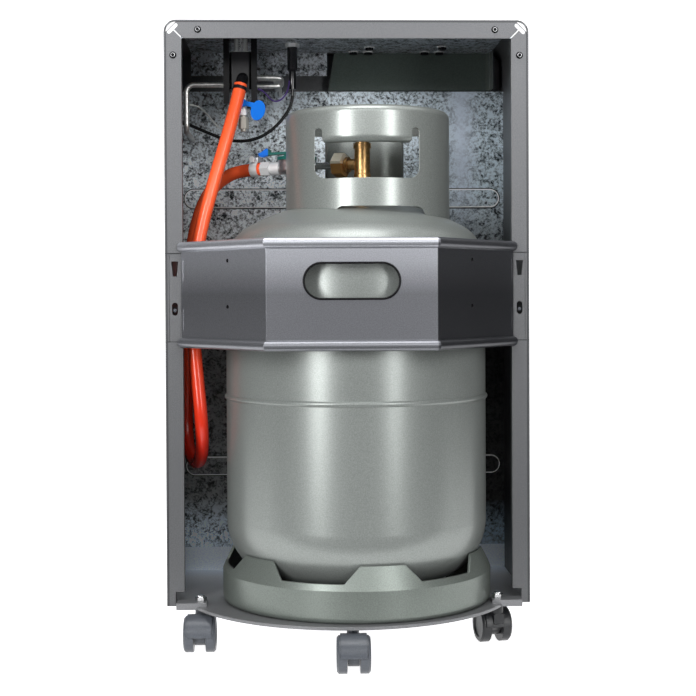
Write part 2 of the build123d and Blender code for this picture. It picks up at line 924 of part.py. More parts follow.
with BuildPart() as cylinder_vessel:
    with BuildSketch(vessel_axis_plane):
        vessel_profile(0, True)
    revolve(axis=vessel_axis)
    with BuildSketch(level(shoulder_z + shoulder_rise - 20, vessel_x, vessel_depth)):
        with Locations((valve_x - vessel_x, 0)):
            Circle(bung_radius)
    extrude(amount=bung_top - shoulder_z - shoulder_rise + 20)
    with BuildSketch(vessel_axis_plane):
        vessel_profile(vessel_wall, False)
    revolve(axis=vessel_axis, mode=Mode.SUBTRACT)
    with BuildSketch(level(bung_top, valve_x, vessel_depth)):
        Circle(bung_bore)
    extrude(amount=-60, mode=Mode.SUBTRACT)
finish(cylinder_vessel, "cylinder_vessel")

window_left = collar_x - window_left_reach
window_right = collar_x + window_right_reach
collar_line = collar_radius - collar_wall / 2
collar_axis = Axis(point(collar_x, vessel_depth, 0), (0, 0, 1))


def rolled_edge(start_z, end_z, roll):
    """Section of the collar's wall with its end turned in by a quarter round."""
    sign = math.copysign(1, end_z - start_z)
    bend_z = end_z - sign * (roll + collar_wall / 2)
    slant = roll * (1 - math.cos(math.pi / 4))
    with BuildLine() as wall_line:
        Line((collar_line, start_z), (collar_line, bend_z))
        ThreePointArc(
            (collar_line, bend_z),
            (collar_line - slant, bend_z + sign * (roll - slant)),
            (collar_line - roll, bend_z + sign * roll),
        )
    trace(wall_line.edges(), line_width=collar_wall)


with BuildPart() as cylinder_collar:
    with BuildSketch(Plane(collar_axis.position, x_dir=(1, 0, 0), z_dir=(0, -1, 0))):
        rolled_edge(collar_foot, collar_top, collar_rim - collar_wall / 2)
    revolve(axis=collar_axis)
    with BuildSketch(vessel_axis_plane):
        vessel_profile(0, False)
    revolve(axis=vessel_axis, mode=Mode.SUBTRACT)
    # near window: low in the middle, with an ear at each side
    with BuildSketch(facing(vessel_depth)) as window_shape:
        with BuildLine():
            Polyline(
                (window_left, window_low),
                (window_right, window_low),
                (window_right, window_ear_top),
                (window_right - window_ear_width, window_ear_top),
                (window_right - window_ear_width, window_high),
                (window_left + window_ear_width, window_high),
                (window_left + window_ear_width, window_ear_top),
                (window_left, window_ear_top),
                close=True,
            )
        make_face()
        fillet(window_shape.vertices().group_by(Axis.Y)[0], window_corner)
        fillet(window_shape.vertices().group_by(Axis.Y)[-1], window_ear_width * 0.45)
    extrude(amount=collar_radius + 5, mode=Mode.SUBTRACT)
    # far windows, one each side; the regulator passes through the left one
    for side in (-1, 1):
        with BuildSketch(level(far_window_low, collar_x, vessel_depth)):
            with Locations(Location((0, 0), 90 + side * far_window_angle)):
                Rectangle(
                    collar_radius + 10,
                    far_window_width,
                    align=(Align.MIN, Align.CENTER),
                )
        extrude(amount=far_window_high - far_window_low, mode=Mode.SUBTRACT)
    # drain slot in the foot of the collar
    with BuildSketch(facing(vessel_depth)):
        with Locations((collar_x + drain_shift, drain_z)):
            SlotOverall(2 * drain_half, 2 * drain_height)
    extrude(amount=collar_radius + 5, mode=Mode.SUBTRACT)
    # hand grip turned in at the near window's upper edge
    grip_start = math.asin((window_left_reach - window_ear_width) / collar_radius)
    grip_end = math.asin((window_right_reach - window_ear_width) / collar_radius)
    grip_low = window_high - grip_roll - collar_wall / 2
    grip_dir = Vector(-math.sin(grip_start), -math.cos(grip_start), 0)
    with BuildSketch(
        Plane(collar_axis.position, x_dir=grip_dir, z_dir=grip_dir.cross(Vector(0, 0, 1)))
    ):
        rolled_edge(window_high + 1, grip_low, grip_roll)
    revolve(axis=collar_axis, revolution_arc=math.degrees(grip_start + grip_end))
finish(cylinder_collar, "cylinder_collar")

# the foot ring leans in until its upper edge meets the vessel's lower knuckle
knuckle_drop = base_shoulder_z - ring_top
ring_waist = vessel_radius - base_knuckle + math.sqrt(base_knuckle**2 - knuckle_drop**2)
with BuildPart() as cylinder_foot_ring:
    with BuildSketch(vessel_axis_plane):
        with BuildLine():
            mid = ring_wall / 2
            roll = ring_roll - mid
            foot = tray_top + mid
            Polyline(
                (ring_waist + mid, ring_top),
                (ring_radius - mid, ring_bend_z),
                (ring_radius - mid, foot + roll),
            )
            ThreePointArc(
                (ring_radius - mid, foot + roll),
                (
                    ring_radius - mid - roll * (1 - math.cos(math.pi / 4)),
                    foot + roll * (1 - math.sin(math.pi / 4)),
                ),
                (ring_radius - mid - roll, foot),
            )
        trace(line_width=ring_wall)
    revolve(axis=vessel_axis)
    cut_pitch = 360 / ring_cut_count
    low_half = ring_radius * math.sin(math.radians(ring_cut_half_low))
    high_half = ring_radius * math.sin(math.radians(ring_cut_half_high))
    for index in range(ring_cut_count):
        turn = math.radians(ring_tab_angle - 90 + cut_pitch * (index + 0.5))
        cut_plane = Plane(
            origin=point(vessel_x, vessel_depth, 0),
            x_dir=(-math.sin(turn), math.cos(turn), 0),
            z_dir=(math.cos(turn), math.sin(turn), 0),
        )
        with BuildSketch(cut_plane):
            with BuildLine():
                Polyline(
                    (-low_half, ring_cut_low),
                    (low_half, ring_cut_low),
                    (high_half, ring_top + ring_wall),
                    (-high_half, ring_top + ring_wall),
                    close=True,
                )
            make_face()
        extrude(amount=ring_radius + ring_wall, mode=Mode.SUBTRACT)
finish(cylinder_foot_ring, "cylinder_foot_ring")

# ---- cylinder valve, union and regulator, all in line with the valve's outlet ---------------------------
outlet_dir = Vector(
    -math.cos(math.radians(outlet_angle)), math.sin(math.radians(outlet_angle)), 0
)
outlet_origin = point(valve_x, vessel_depth, outlet_z)


def outlet_plane(distance):
    """Plane square to the valve's outlet, at a distance from the valve's axis."""
    return Plane(
        origin=outlet_origin + outlet_dir * distance,
        x_dir=outlet_dir.cross(Vector(0, 0, 1)),
        z_dir=outlet_dir,
    )


valve_axis_plane = Plane(origin=point(valve_x, vessel_depth, 0), x_dir=(1, 0, 0), z_dir=(0, -1, 0))
with BuildPart() as cylinder_valve:
    with BuildSketch(valve_axis_plane):
        with BuildLine():
            Polyline(
                (spindle_radius + 0.05, valve_top),
                (valve_radius - 1, valve_top),
                (valve_radius - 1, valve_top - 8),
                (valve_collar_radius, valve_top - 8),
                (valve_collar_radius, valve_top - 14),
                (valve_radius, valve_top - 14),
                (valve_radius, bung_top + valve_flange_height + 1),
                (valve_flange_radius, bung_top + valve_flange_height),
                (valve_flange_radius, bung_top),
                (bung_bore - 0.1, bung_top),
                (bung_bore - 2, bung_top - 24),
                (0, bung_top - 24),
                (0, valve_top - 16),
                (spindle_radius + 0.05, valve_top - 16),
                close=True,
            )
        make_face()
    revolve(axis=Axis(valve_axis_plane.origin, (0, 0, 1)))
    with BuildSketch(outlet_plane(5)):
        Circle(outlet_neck_radius)
    extrude(amount=nut_start - 5)
    with BuildSketch(outlet_plane(nut_start - 5)):
        Circle(outlet_ring_radius)
    extrude(amount=3)
finish(cylinder_valve, "cylinder_valve")

with BuildPart() as valve_handwheel:
    with BuildSketch(level(handwheel_low, valve_x, vessel_depth)):
        Circle(handwheel_radius)
        with PolarLocations(handwheel_radius + 4, 8):
            Circle(8, mode=Mode.SUBTRACT)
    extrude(amount=handwheel_height)
    chamfer(valve_handwheel.faces().sort_by(Axis.Z)[-1].edges(), 1.5)
    with BuildSketch(level(valve_top - 15, valve_x, vessel_depth)):
        Circle(spindle_radius)
    extrude(amount=handwheel_low - valve_top + 15)
finish(valve_handwheel, "valve_handwheel")

with BuildPart() as regulator_nut:
    with BuildSketch(outlet_plane(nut_start)):
        RegularPolygon(nut_across / 2, 6, major_radius=False, rotation=nut_turn)
        Circle(stem_rod_radius, mode=Mode.SUBTRACT)
    extrude(amount=nut_length)
    chamfer(regulator_nut.faces().sort_by(Axis(outlet_origin, outlet_dir))[-1].outer_wire().edges(), 1.5)
finish(regulator_nut, "regulator_nut")

with BuildPart() as regulator_stem:
    with BuildSketch(outlet_plane(nut_start)):
        Circle(stem_rod_radius)
    extrude(amount=reg_centre - reg_radius - boss_reach - nut_start)
finish(regulator_stem, "regulator_stem")

reg_place = outlet_origin + outlet_dir * reg_centre
with BuildPart() as regulator_body:
    with BuildSketch(Plane(origin=reg_place - Vector(0, 0, reg_body_height / 2))):
        Circle(reg_radius)
    extrude(amount=reg_body_height)
    fillet(regulator_body.faces().sort_by(Axis.Z)[0].edges(), 5)
    with BuildSketch(outlet_plane(reg_centre - reg_radius - boss_reach)):
        Circle(stem_rod_radius + 2)
    extrude(amount=2 * boss_reach)
    with BuildSketch(outlet_plane(reg_centre)):
        Circle(tail_radius)
    extrude(amount=tail_start - reg_centre)
finish(regulator_body, "regulator_body")

bonnet_low = reg_place.Z + reg_body_height / 2
with BuildPart() as regulator_bonnet:
    with BuildSketch(Plane(origin=(reg_place.X, reg_place.Y, bonnet_low))):
        Circle(reg_radius + 1.5)
    extrude(amount=4)
    with BuildSketch(Plane(origin=(reg_place.X, reg_place.Y, bonnet_low + 4))):
        Circle(reg_radius - 6)
    extrude(amount=reg_bonnet_height - 4, taper=12)
finish(regulator_bonnet, "regulator_bonnet")

with BuildPart() as regulator_tail:
    with BuildSketch(outlet_plane(tail_start)):
        Circle(tail_radius)
    extrude(amount=(tail_end - tail_start) * 0.45)
    with BuildSketch(outlet_plane(tail_start + (tail_end - tail_start) * 0.45)):
        Circle(tail_radius - 1.2)
    extrude(amount=2)
    with BuildSketch(outlet_plane(tail_start + (tail_end - tail_start) * 0.45 + 2)):
        RegularPolygon(tail_radius, 6, major_radius=False)
    extrude(amount=tail_end - tail_start - (tail_end - tail_start) * 0.45 - 2)
finish(regulator_tail, "regulator_tail")

lever_low = bonnet_low + reg_bonnet_height + 0.4
with BuildPart() as regulator_lever:
    lever_plane = Plane(
        origin=(reg_place.X, reg_place.Y, lever_low), x_dir=outlet_dir, z_dir=(0, 0, 1)
    )
    with BuildSketch(lever_plane):
        Circle(9)
        with Locations((lever_length / 2, 0)):
            Rectangle(lever_length, 9)
    extrude(amount=lever_sheet)
    wing_plane = Plane(
        origin=(reg_place.X, reg_place.Y, lever_low),
        x_dir=outlet_dir,
        z_dir=outlet_dir.cross(Vector(0, 0, 1)),
    )
    with BuildSketch(wing_plane):
        with BuildLine():
            Polyline(
                (lever_length - wing_length, 0),
                (lever_length - wing_length / 3, -wing_dip),
                (lever_length, -wing_dip / 2),
                (lever_length, wing_dip),
                (lever_length - wing_length * 0.7, wing_rise),
                (lever_length - wing_length, wing_rise * 0.75),
                close=True,
            )
        make_face()
    extrude(amount=lever_sheet, both=True)
finish(regulator_lever, "regulator_lever")

# ---- gas hose: one free length from the control valve's elbow down and back up to the regulator --------
hose_end = outlet_origin + outlet_dir * tail_end
hose_lead = outlet_dir * 30
wall_x = -outline_half
hose_points = [
    point(control_x + 1, 76, 648),
    point(control_x - 5.5, 68, 618),
    point(control_x - 17, 56, 575),
    point(control_x - 30.5, 44, 527),
    point(wall_x + 38, 35, 474),
    point(wall_x + 29, 28, 418),
    point(wall_x + 29, 24, 362),
    point(wall_x + 34, 21, 305),
    point(wall_x + 39.5, 20, 249),
    point(wall_x + 37.5, 48.5, 209.5),
    point(wall_x + 27, 94, 195),
    point(wall_x + 14, 139.5, 209.5),
    point(wall_x + 10, 168, 249),
    point(wall_x + 10.5, 171, 298),
    point(wall_x + 11, 171, 345),
    point(wall_x + 12, 168, 388),
    point(wall_x + 14, 163, 431),
    point(wall_x + 22, 153, 478),
    point(wall_x + 36, 142, 519),
    point(wall_x + 57, 129, 540),
    hose_end + hose_lead,
    hose_end,
]


def corner_radii(points):
    """Radius of each corner: 0.45 of its shorter run over the tangent of half the turn."""
    radii = []
    for before, here, after in zip(points, points[1:], points[2:]):
        turn = math.radians((here - before).get_angle(after - here))
        run = min((here - before).length, (after - here).length)
        radii.append(0.45 * run / math.tan(turn / 2))
    return radii


def make_cord(points, diameter, sides, name):
    """Tube of many sides along straight runs joined by tangent arcs."""
    radii = corner_radii(points)
    with BuildPart() as cord:
        with BuildLine() as route:
            FilletPolyline(*points, radius=radii)
        with BuildSketch(Plane(origin=points[0], z_dir=points[1] - points[0])) as section:
            RegularPolygon(diameter / 2, sides)
        sweep(path=route.line)
    finish(cord, name)
    length = sum(edge.length for edge in route.edges())
    expected = section.sketch.area * length
    print(name, "length", round(length, 1), "radii", [round(r) for r in radii])
    print(name, "volume over section times length", round(cord.part.volume / expected, 4))


make_cord(hose_points, hose_diameter, hose_sides, "gas_hose")


def make_clip(start, direction, width, screw, name):
    """Band clip round the hose near one end, with or without a screw housing on top."""
    band_inner = hose_diameter / 2 + clip_gap
    housing_y = band_inner + clip_band + screw_rise
    across_dir = direction.cross(Vector(0, 0, 1)).normalized()
    base = Plane(origin=start, x_dir=across_dir, z_dir=direction)
    with BuildPart() as clip:
        with BuildSketch(base):
            Circle(band_inner + clip_band)
            Circle(band_inner, mode=Mode.SUBTRACT)
        extrude(amount=width)
        if screw:
            with BuildSketch(base):
                with Locations((0, -housing_y)):
                    Rectangle(8, 2 * screw_rise + 0.6)
            extrude(amount=width)
            with BuildSketch(Plane(base.origin, x_dir=direction, z_dir=across_dir)):
                with Locations((width / 2, housing_y)):
                    Circle(screw_drum)
            extrude(amount=width, both=True)
    finish(clip, name)


hose_start = hose_points[0]
hose_start_dir = (hose_points[1] - hose_points[0]).normalized()
slim_clip_start = hose_start + hose_start_dir * clip_offset
make_clip(slim_clip_start, hose_start_dir, slim_clip_width, False, "hose_clip_valve")
make_clip(hose_end + outlet_dir * clip_offset, outlet_dir, clip_width, True, "hose_clip_regulator")

# ---- control valve ----------------------------------------------------------------------------------
with BuildPart() as gas_valve:
    with BuildSketch(level(valve_block_low, control_x, control_depth)):
        RectangleRounded(valve_block_width, valve_block_depth, 3)
    extrude(amount=valve_block_high - valve_block_low)
    with BuildSketch(level(valve_block_high, control_x, control_depth)):
        with Locations((-post_spread, 0), (post_spread, 0)):
            Circle(post_radius)
    extrude(amount=roof_under - liner_sheet - plate_sheet - valve_block_high)
    with BuildSketch(level(valve_block_high, control_x, control_depth)):
        Circle(control_spindle_radius + axle_fit)
    extrude(amount=-14, mode=Mode.SUBTRACT)
finish(gas_valve, "gas_valve")

plate_front = control_depth - plate_depth / 2
pipe_exits = (
    (main_pipe_depth, main_pipe_z, pipe_radius),
    (pilot_pipe_depth, pilot_pipe_z, thin_pipe_radius),
    (main_pipe_depth, side_pipe_z, pipe_radius),
)
with BuildPart() as valve_bracket:
    with BuildSketch(level(plate_low)):
        for side in (-1, 1):
            plate_x = control_x + side * plate_spread / 2
            with Locations((plate_x, plate_front)):
                Rectangle(
                    plate_sheet,
                    plate_depth,
                    align=(Align.MIN if side > 0 else Align.MAX, Align.MIN),
                )
                Rectangle(
                    plate_width,
                    plate_sheet,
                    align=(Align.MIN if side > 0 else Align.MAX, Align.MIN),
                )
    extrude(amount=roof_under - liner_sheet - plate_low)
    with BuildSketch(across(control_x)):
        for depth, z, radius in pipe_exits:
            with Locations((depth, z)):
                Circle(radius + hole_clearance)
    extrude(amount=plate_spread, both=True, mode=Mode.SUBTRACT)
    with BuildSketch(level(roof_under - liner_sheet, control_x, control_depth)):
        Rectangle(plate_spread + 2 * plate_sheet, plate_depth)
        Circle(control_spindle_radius + hole_clearance, mode=Mode.SUBTRACT)
    extrude(amount=-plate_sheet)
finish(valve_bracket, "valve_bracket")

with BuildPart() as valve_spindle:
    with BuildSketch(level(valve_block_high - 13, control_x, control_depth)):
        Circle(control_spindle_radius)
    extrude(amount=cabinet_top + knob_gap - valve_block_high + 13)
finish(valve_spindle, "valve_spindle")

with BuildPart() as control_knob:
    with BuildSketch(level(cabinet_top + knob_gap, control_x, control_depth)):
        Circle(knob_radius)
        with PolarLocations(knob_radius + 2.2, knob_flutes):
            Circle(3.4, mode=Mode.SUBTRACT)
    extrude(amount=knob_height, taper=3)
    with BuildSketch(level(cabinet_top + knob_gap + knob_height, control_x, control_depth)):
        with Locations((0, -knob_radius / 2)):
            Rectangle(1.6, knob_radius - 6)
    extrude(amount=-1, mode=Mode.SUBTRACT)
finish(control_knob, "control_knob")

elbow_corner = hose_start - hose_start_dir * elbow_lead
valve_face = rear_y + control_depth - valve_block_depth / 2
elbow_back = Vector(elbow_corner.X, valve_face, elbow_corner.Z)
with BuildPart() as inlet_elbow:
    with BuildLine() as elbow_route:
        FilletPolyline(elbow_back, elbow_corner, hose_start, radius=elbow_bend)
    with BuildSketch(Plane(origin=elbow_back, z_dir=elbow_corner - elbow_back)):
        Circle(elbow_radius)
    sweep(path=elbow_route.line)
finish(inlet_elbow, "inlet_elbow")

# ---- gas pipes: main and pilot feeds to the front, and the line to the side -----------------------------
feed_x = control_x + feed_reach
side_x = outline_half - side_pipe_inset
pipe_routes = [
    (
        pipe_radius,
        [
            point(control_x + valve_block_width / 2, main_pipe_depth, main_pipe_z),
            point(feed_x, main_pipe_depth, main_pipe_z),
            point(feed_x, rear_wall_depth, main_pipe_z),
        ],
    ),
    (
        thin_pipe_radius,
        [
            point(control_x + valve_block_width / 2, pilot_pipe_depth, pilot_pipe_z),
            point(feed_x + pipe_bend / 2, pilot_pipe_depth, pilot_pipe_z),
            point(feed_x + pipe_bend / 2, rear_wall_depth, pilot_pipe_z),
        ],
    ),
    (
        pipe_radius,
        [
            point(control_x - valve_block_width / 2, main_pipe_depth, side_pipe_z),
            point(-side_x, main_pipe_depth, side_pipe_z),
            point(-side_x, main_pipe_depth, side_pipe_z - side_pipe_drop),
            point(-side_x, rear_wall_depth, side_pipe_z - side_pipe_drop),
        ],
    ),
]
with BuildPart() as gas_pipes:
    for radius, places in pipe_routes:
        with BuildLine() as pipe_route:
            FilletPolyline(*places, radius=pipe_bend)
        with BuildSketch(Plane(origin=places[0], z_dir=places[1] - places[0])):
            Circle(radius)
        sweep(path=pipe_route.line)
finish(gas_pipes, "gas_pipes")

# ---- shut-off tap with a paddle lever -------------------------------------------------------------------
tap_hub = 4.5
with BuildPart() as tap_body:
    with BuildSketch(level(valve_block_low, tap_x, tap_depth)):
        Circle(tap_shaft_radius)
    extrude(amount=-tap_drop)
    with BuildSketch(level(tap_z - tap_nut_drop, tap_x, tap_depth)):
        RegularPolygon(tap_radius, 6)
    extrude(amount=-tap_nut_height)
    with BuildSketch(level(tap_z - tap_nut_drop - tap_nut_height - 2, tap_x, tap_depth)):
        RegularPolygon(tap_radius + 0.6, 6)
    extrude(amount=-tap_nut_drop * 2)
    with BuildSketch(facing(tap_depth)):
        with Locations((tap_x, tap_z)):
            Circle(tap_hub)
    extrude(amount=7)
finish(tap_body, "tap_body")

with BuildPart() as tap_lever:
    with BuildSketch(facing(tap_depth - 7.3)):
        with Locations((tap_x, tap_z)):
            Circle(tap_hub)
        with Locations(Location((tap_x + 2 * tap_hub, tap_z - 2), -12)):
            Rectangle(20, 5.5)
        with Locations(Location((tap_x + 17.5, tap_z - 9), 75)):
            Ellipse(12, 8.5)
    extrude(amount=3.5)
finish(tap_lever, "tap_lever")

# ---- igniter --------------------------------------------------------------------------------------------
igniter_axis_plane = Plane(
    origin=point(igniter_x, igniter_depth, 0), x_dir=(1, 0, 0), z_dir=(0, -1, 0)
)
igniter_flange = cabinet_top + igniter_rim
igniter_shoulder = cabinet_top - igniter_barrel
igniter_foot = igniter_shoulder - igniter_shank
igniter_tip = igniter_foot - igniter_pin
with BuildPart() as igniter_body:
    with BuildSketch(igniter_axis_plane):
        with BuildLine():
            Polyline(
                (button_stem_radius + button_fit, igniter_flange),
                (button_radius + 1.5, igniter_flange),
                (button_radius + 1.5, cabinet_top),
                (igniter_radius, cabinet_top),
                (igniter_radius, igniter_shoulder + 2),
                (igniter_low_radius, igniter_shoulder),
                (igniter_low_radius, igniter_foot),
                (igniter_pin_radius, igniter_foot),
                (igniter_pin_radius, igniter_tip),
                (0, igniter_tip),
                (0, cabinet_top - 20),
                (button_stem_radius + button_fit, cabinet_top - 20),
                close=True,
            )
        make_face()
    revolve(axis=Axis(igniter_axis_plane.origin, (0, 0, 1)))
finish(igniter_body, "igniter_body")

with BuildPart() as igniter_nut:
    with BuildSketch(level(roof_under - liner_sheet, igniter_x, igniter_depth)):
        RegularPolygon(igniter_nut_radius + 1, 6)
        Circle(igniter_radius, mode=Mode.SUBTRACT)
    extrude(amount=-4.5)
finish(igniter_nut, "igniter_nut")

button_low = igniter_flange + button_travel + 0.3
with BuildPart() as igniter_button:
    with BuildSketch(level(button_low, igniter_x, igniter_depth)):
        Circle(button_radius)
    extrude(amount=button_height)
    chamfer(igniter_button.faces().sort_by(Axis.Z)[-1].edges(), 1)
    with BuildSketch(level(button_low, igniter_x, igniter_depth)):
        Circle(button_stem_radius)
    extrude(amount=-button_stem)
finish(igniter_button, "igniter_button")

# lead from the igniter's foot to the side wall of the fire chamber
lead_points = [
    point(igniter_x, igniter_depth, igniter_tip),
    point(igniter_x - 1, igniter_depth, igniter_tip - 10),
    point(igniter_x - 8, igniter_depth - 2, igniter_tip - 23),
    point(igniter_x - 20, igniter_depth - 5, igniter_tip - 38),
    point(igniter_x - 37, igniter_depth - 8, igniter_tip - 51),
    point(igniter_x - 57, igniter_depth - 10, igniter_tip - 57),
    point(igniter_x - 79, igniter_depth - 11, igniter_tip - 56),
    point(igniter_x - 100, igniter_depth - 10, igniter_tip - 48),
    point(igniter_x - 118, igniter_depth - 8, igniter_tip - 40),
    point(igniter_x - 132, igniter_depth - 6, igniter_tip - 34),
    point(-inner_half, igniter_depth - 6, igniter_tip - 34),
]
make_cord(lead_points, lead_diameter, lead_sides, "igniter_lead")

# ---- radiant front ------------------------------------------------------------------------------------
fascia_low = cabinet_bottom + fascia_gap
fascia_high = cabinet_top - fascia_gap
with BuildPart() as front_fascia:
    with BuildSketch(facing(cabinet_depth)):
        with Locations((0, fascia_low)):
            Rectangle(
                cabinet_width - 2 * fascia_gap,
                fascia_high - fascia_low,
                align=(Align.CENTER, Align.MIN),
            )
        with Locations((0, fire_middle)):
            RectangleRounded(fire_width, fire_height, fire_corner, mode=Mode.SUBTRACT)
    extrude(amount=-fascia_sheet)
    with BuildSketch(facing(cabinet_depth + fascia_sheet)):
        with Locations((0, fire_middle)):
            RectangleRounded(
                fire_width + 2 * frame_width,
                fire_height + 2 * frame_width,
                fire_corner + frame_width,
            )
            RectangleRounded(fire_width, fire_height, fire_corner, mode=Mode.SUBTRACT)
    extrude(amount=-frame_rise)
    # pressed ribs across the lower panel
    with BuildSketch(facing(cabinet_depth + fascia_sheet)):
        with Locations((0, rib_z)):
            with GridLocations(0, rib_pitch, 1, rib_count):
                SlotOverall(fire_width, rib_height)
    extrude(amount=-rib_rise, taper=30)
finish(front_fascia, "front_fascia")

with BuildPart() as burner_box:
    with BuildSketch(facing(cabinet_depth)):
        with Locations((0, fire_middle)):
            Rectangle(fire_width + 14, fire_height + 14)
            Rectangle(fire_width - 2, fire_height - 2, mode=Mode.SUBTRACT)
    extrude(amount=liner_sheet)
    with BuildSketch(facing(cabinet_depth)):
        with Locations((0, fire_middle)):
            Rectangle(fire_width, fire_height)
    extrude(amount=fire_depth)
    with BuildSketch(facing(cabinet_depth)):
        with Locations((0, fire_middle)):
            Rectangle(fire_width - 2 * liner_sheet, fire_height - 2 * liner_sheet)
    extrude(amount=fire_depth - liner_sheet, mode=Mode.SUBTRACT)
finish(burner_box, "burner_box")

plaque_depth = cabinet_depth - fire_depth + liner_sheet
with BuildPart() as ceramic_plaques:
    with BuildSketch(facing(plaque_depth)):
        with Locations((0, plaque_z)):
            with GridLocations(plaque_pitch, 0, 3, 1):
                RectangleRounded(plaque_width, plaque_height, 4)
    extrude(amount=-plaque_thickness)
finish(ceramic_plaques, "ceramic_plaques")

manifold_depth = plaque_depth + manifold_radius + 1
manifold_z = fire_low + manifold_rise
with BuildPart() as gas_manifold:
    with BuildSketch(across(manifold_end - fire_width / 2)):
        with Locations((manifold_depth, manifold_z)):
            Circle(manifold_radius)
    extrude(amount=fire_width - 2 * manifold_end)
    with BuildSketch(level(manifold_z + 4, 0, manifold_depth)):
        with GridLocations(plaque_pitch, 0, 3, 1):
            RegularPolygon(jet_radius, 6)
    extrude(amount=jet_height)
finish(gas_manifold, "gas_manifold")

with BuildPart() as pilot_burner:
    with BuildSketch(facing(plaque_depth)):
        with Locations((0, pilot_z)):
            Rectangle(pilot_width, pilot_height)
    extrude(amount=-3)
    for offset_x, radius, height in ((-14, 2.5, 34), (0, 4, 24), (14, 2.2, 38)):
        with BuildSketch(level(pilot_z - pilot_height, offset_x, plaque_depth + 3 + radius)):
            Circle(radius)
        extrude(amount=height)
finish(pilot_burner, "pilot_burner")

# ---- wire guard: bowed uprights tied by three rails ---------------------------------------------------
guard_back = cabinet_depth + fascia_sheet
guard_front = guard_back + guard_reach
guard_pitch = 2 * guard_half / (guard_count - 1)
with BuildPart() as guard_uprights:
    for index in range(guard_count):
        wire_x = index * guard_pitch - guard_half
        with BuildLine():
            wire = Polyline(
                point(wire_x, guard_back, guard_low),
                point(wire_x, guard_front - guard_bend, guard_low),
                point(wire_x, guard_front, guard_low + guard_bend),
                point(wire_x, guard_front, guard_high - guard_bend),
                point(wire_x, guard_front - guard_bend, guard_high),
                point(wire_x, guard_back, guard_high),
            )
        with BuildSketch(Plane(origin=wire @ 0, x_dir=(1, 0, 0), z_dir=wire % 0)):
            RegularPolygon(guard_wire, guard_sides)
        sweep(path=wire, transition=Transition.RIGHT)
finish(guard_uprights, "guard_uprights")

rail_depth = guard_front - (guard_wire + guard_rail) * flat_share
with BuildPart() as guard_rails:
    with BuildSketch(across(-guard_half - guard_rail_end)):
        for rail_z in (guard_low + guard_rail_inset, fire_middle, guard_high - guard_rail_inset):
            with Locations((rail_depth, rail_z)):
                RegularPolygon(guard_rail, guard_sides, rotation=180 / guard_sides)
    extrude(amount=2 * (guard_half + guard_rail_end))
finish(guard_rails, "guard_rails")

# ---- fasteners ----------------------------------------------------------------------------------------
with BuildPart() as frame_screws:
    screw_places = [
        (-outline_half + top_screw_inset, cabinet_top - top_screw_drop),
        (outline_half - top_screw_inset, cabinet_top - top_screw_drop),
        (-outline_half + side_screw_inset, cabinet_top - side_screw_drop),
        (outline_half - side_screw_inset, cabinet_top - side_screw_drop),
    ]
    with BuildSketch(facing(0)):
        with Locations(*screw_places):
            Circle(screw_radius)
    extrude(amount=screw_head, taper=25)
finish(frame_screws, "frame_screws")

with BuildPart() as roof_bolts:
    for bolt_x, inset in bolt_places:
        bolt_depth = roof_plate_depth - inset
        with BuildSketch(level(roof_under - liner_sheet, bolt_x, bolt_depth)):
            RegularPolygon(bolt_radius, 6)
        extrude(amount=-bolt_head)
finish(roof_bolts, "roof_bolts")
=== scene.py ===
import json
import math

import bmesh
import bpy
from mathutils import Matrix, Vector


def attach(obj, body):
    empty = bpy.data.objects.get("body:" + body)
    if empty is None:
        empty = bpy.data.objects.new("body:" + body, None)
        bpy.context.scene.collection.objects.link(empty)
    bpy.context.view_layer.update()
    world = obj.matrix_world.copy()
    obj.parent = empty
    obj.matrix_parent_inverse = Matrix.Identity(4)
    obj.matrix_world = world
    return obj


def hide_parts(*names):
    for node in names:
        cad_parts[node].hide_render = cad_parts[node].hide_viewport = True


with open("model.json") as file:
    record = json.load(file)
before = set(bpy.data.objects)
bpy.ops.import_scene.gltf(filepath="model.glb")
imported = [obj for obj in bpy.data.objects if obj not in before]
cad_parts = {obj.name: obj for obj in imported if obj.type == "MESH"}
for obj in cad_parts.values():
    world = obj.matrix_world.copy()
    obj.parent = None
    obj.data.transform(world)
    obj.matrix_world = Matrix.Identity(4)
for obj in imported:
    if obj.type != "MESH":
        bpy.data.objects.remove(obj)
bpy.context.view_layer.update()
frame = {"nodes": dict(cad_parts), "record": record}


# ---- places, in metres: "depth" runs from the cabinet's rear plane towards its front ----------
def node_box(name):
    """Lowest and highest corner of a CAD node, to a micrometre."""
    spots = [vertex.co for vertex in frame["nodes"][name].data.vertices]
    low = [round(min(spot[axis] for spot in spots), 6) for axis in range(3)]
    high = [round(max(spot[axis] for spot in spots), 6) for axis in range(3)]
    return low, high


cabinet_low, cabinet_high = node_box("cabinet_wrapper")
REAR_Y = cabinet_low[1]


def place(x, depth, z):
    """Point in the shared frame from millimetres sideways, in depth and up."""
    return Vector((x / 1000, REAR_Y + depth / 1000, z / 1000))


# ---- sizes and places that the paint marks follow, in metres ----------------------------------
SOFT_EDGE = 0.0003
WORN_EDGE_RADIUS = 0.0008
CABINET_HALF = cabinet_high[0]
CABINET_TOP = cabinet_high[2]
CORNER_RADIUS = 0.014
FRAME_FOOT = 0.05
FACE_SKIN = (0.0014, 0.0011)
# RIM_FOLD and STRIP_LINE_HALF place lines of painted shade on the frame
RIM_FOLD = (0.0014, 0.0026)
NOTCH_REACH = 0.0159
NOTCH_ARC = 0.0115
STRIP_ENDS = (0.346, 0.446)
STRIP_LINE_HALF = 0.0005
WALL_FOOT = 0.05
WALL_HEAD = 0.66
# sides across which the rear wall's painted shade darkens to the right
WALL_SHADED_SIDES = (-0.05, 0.16)
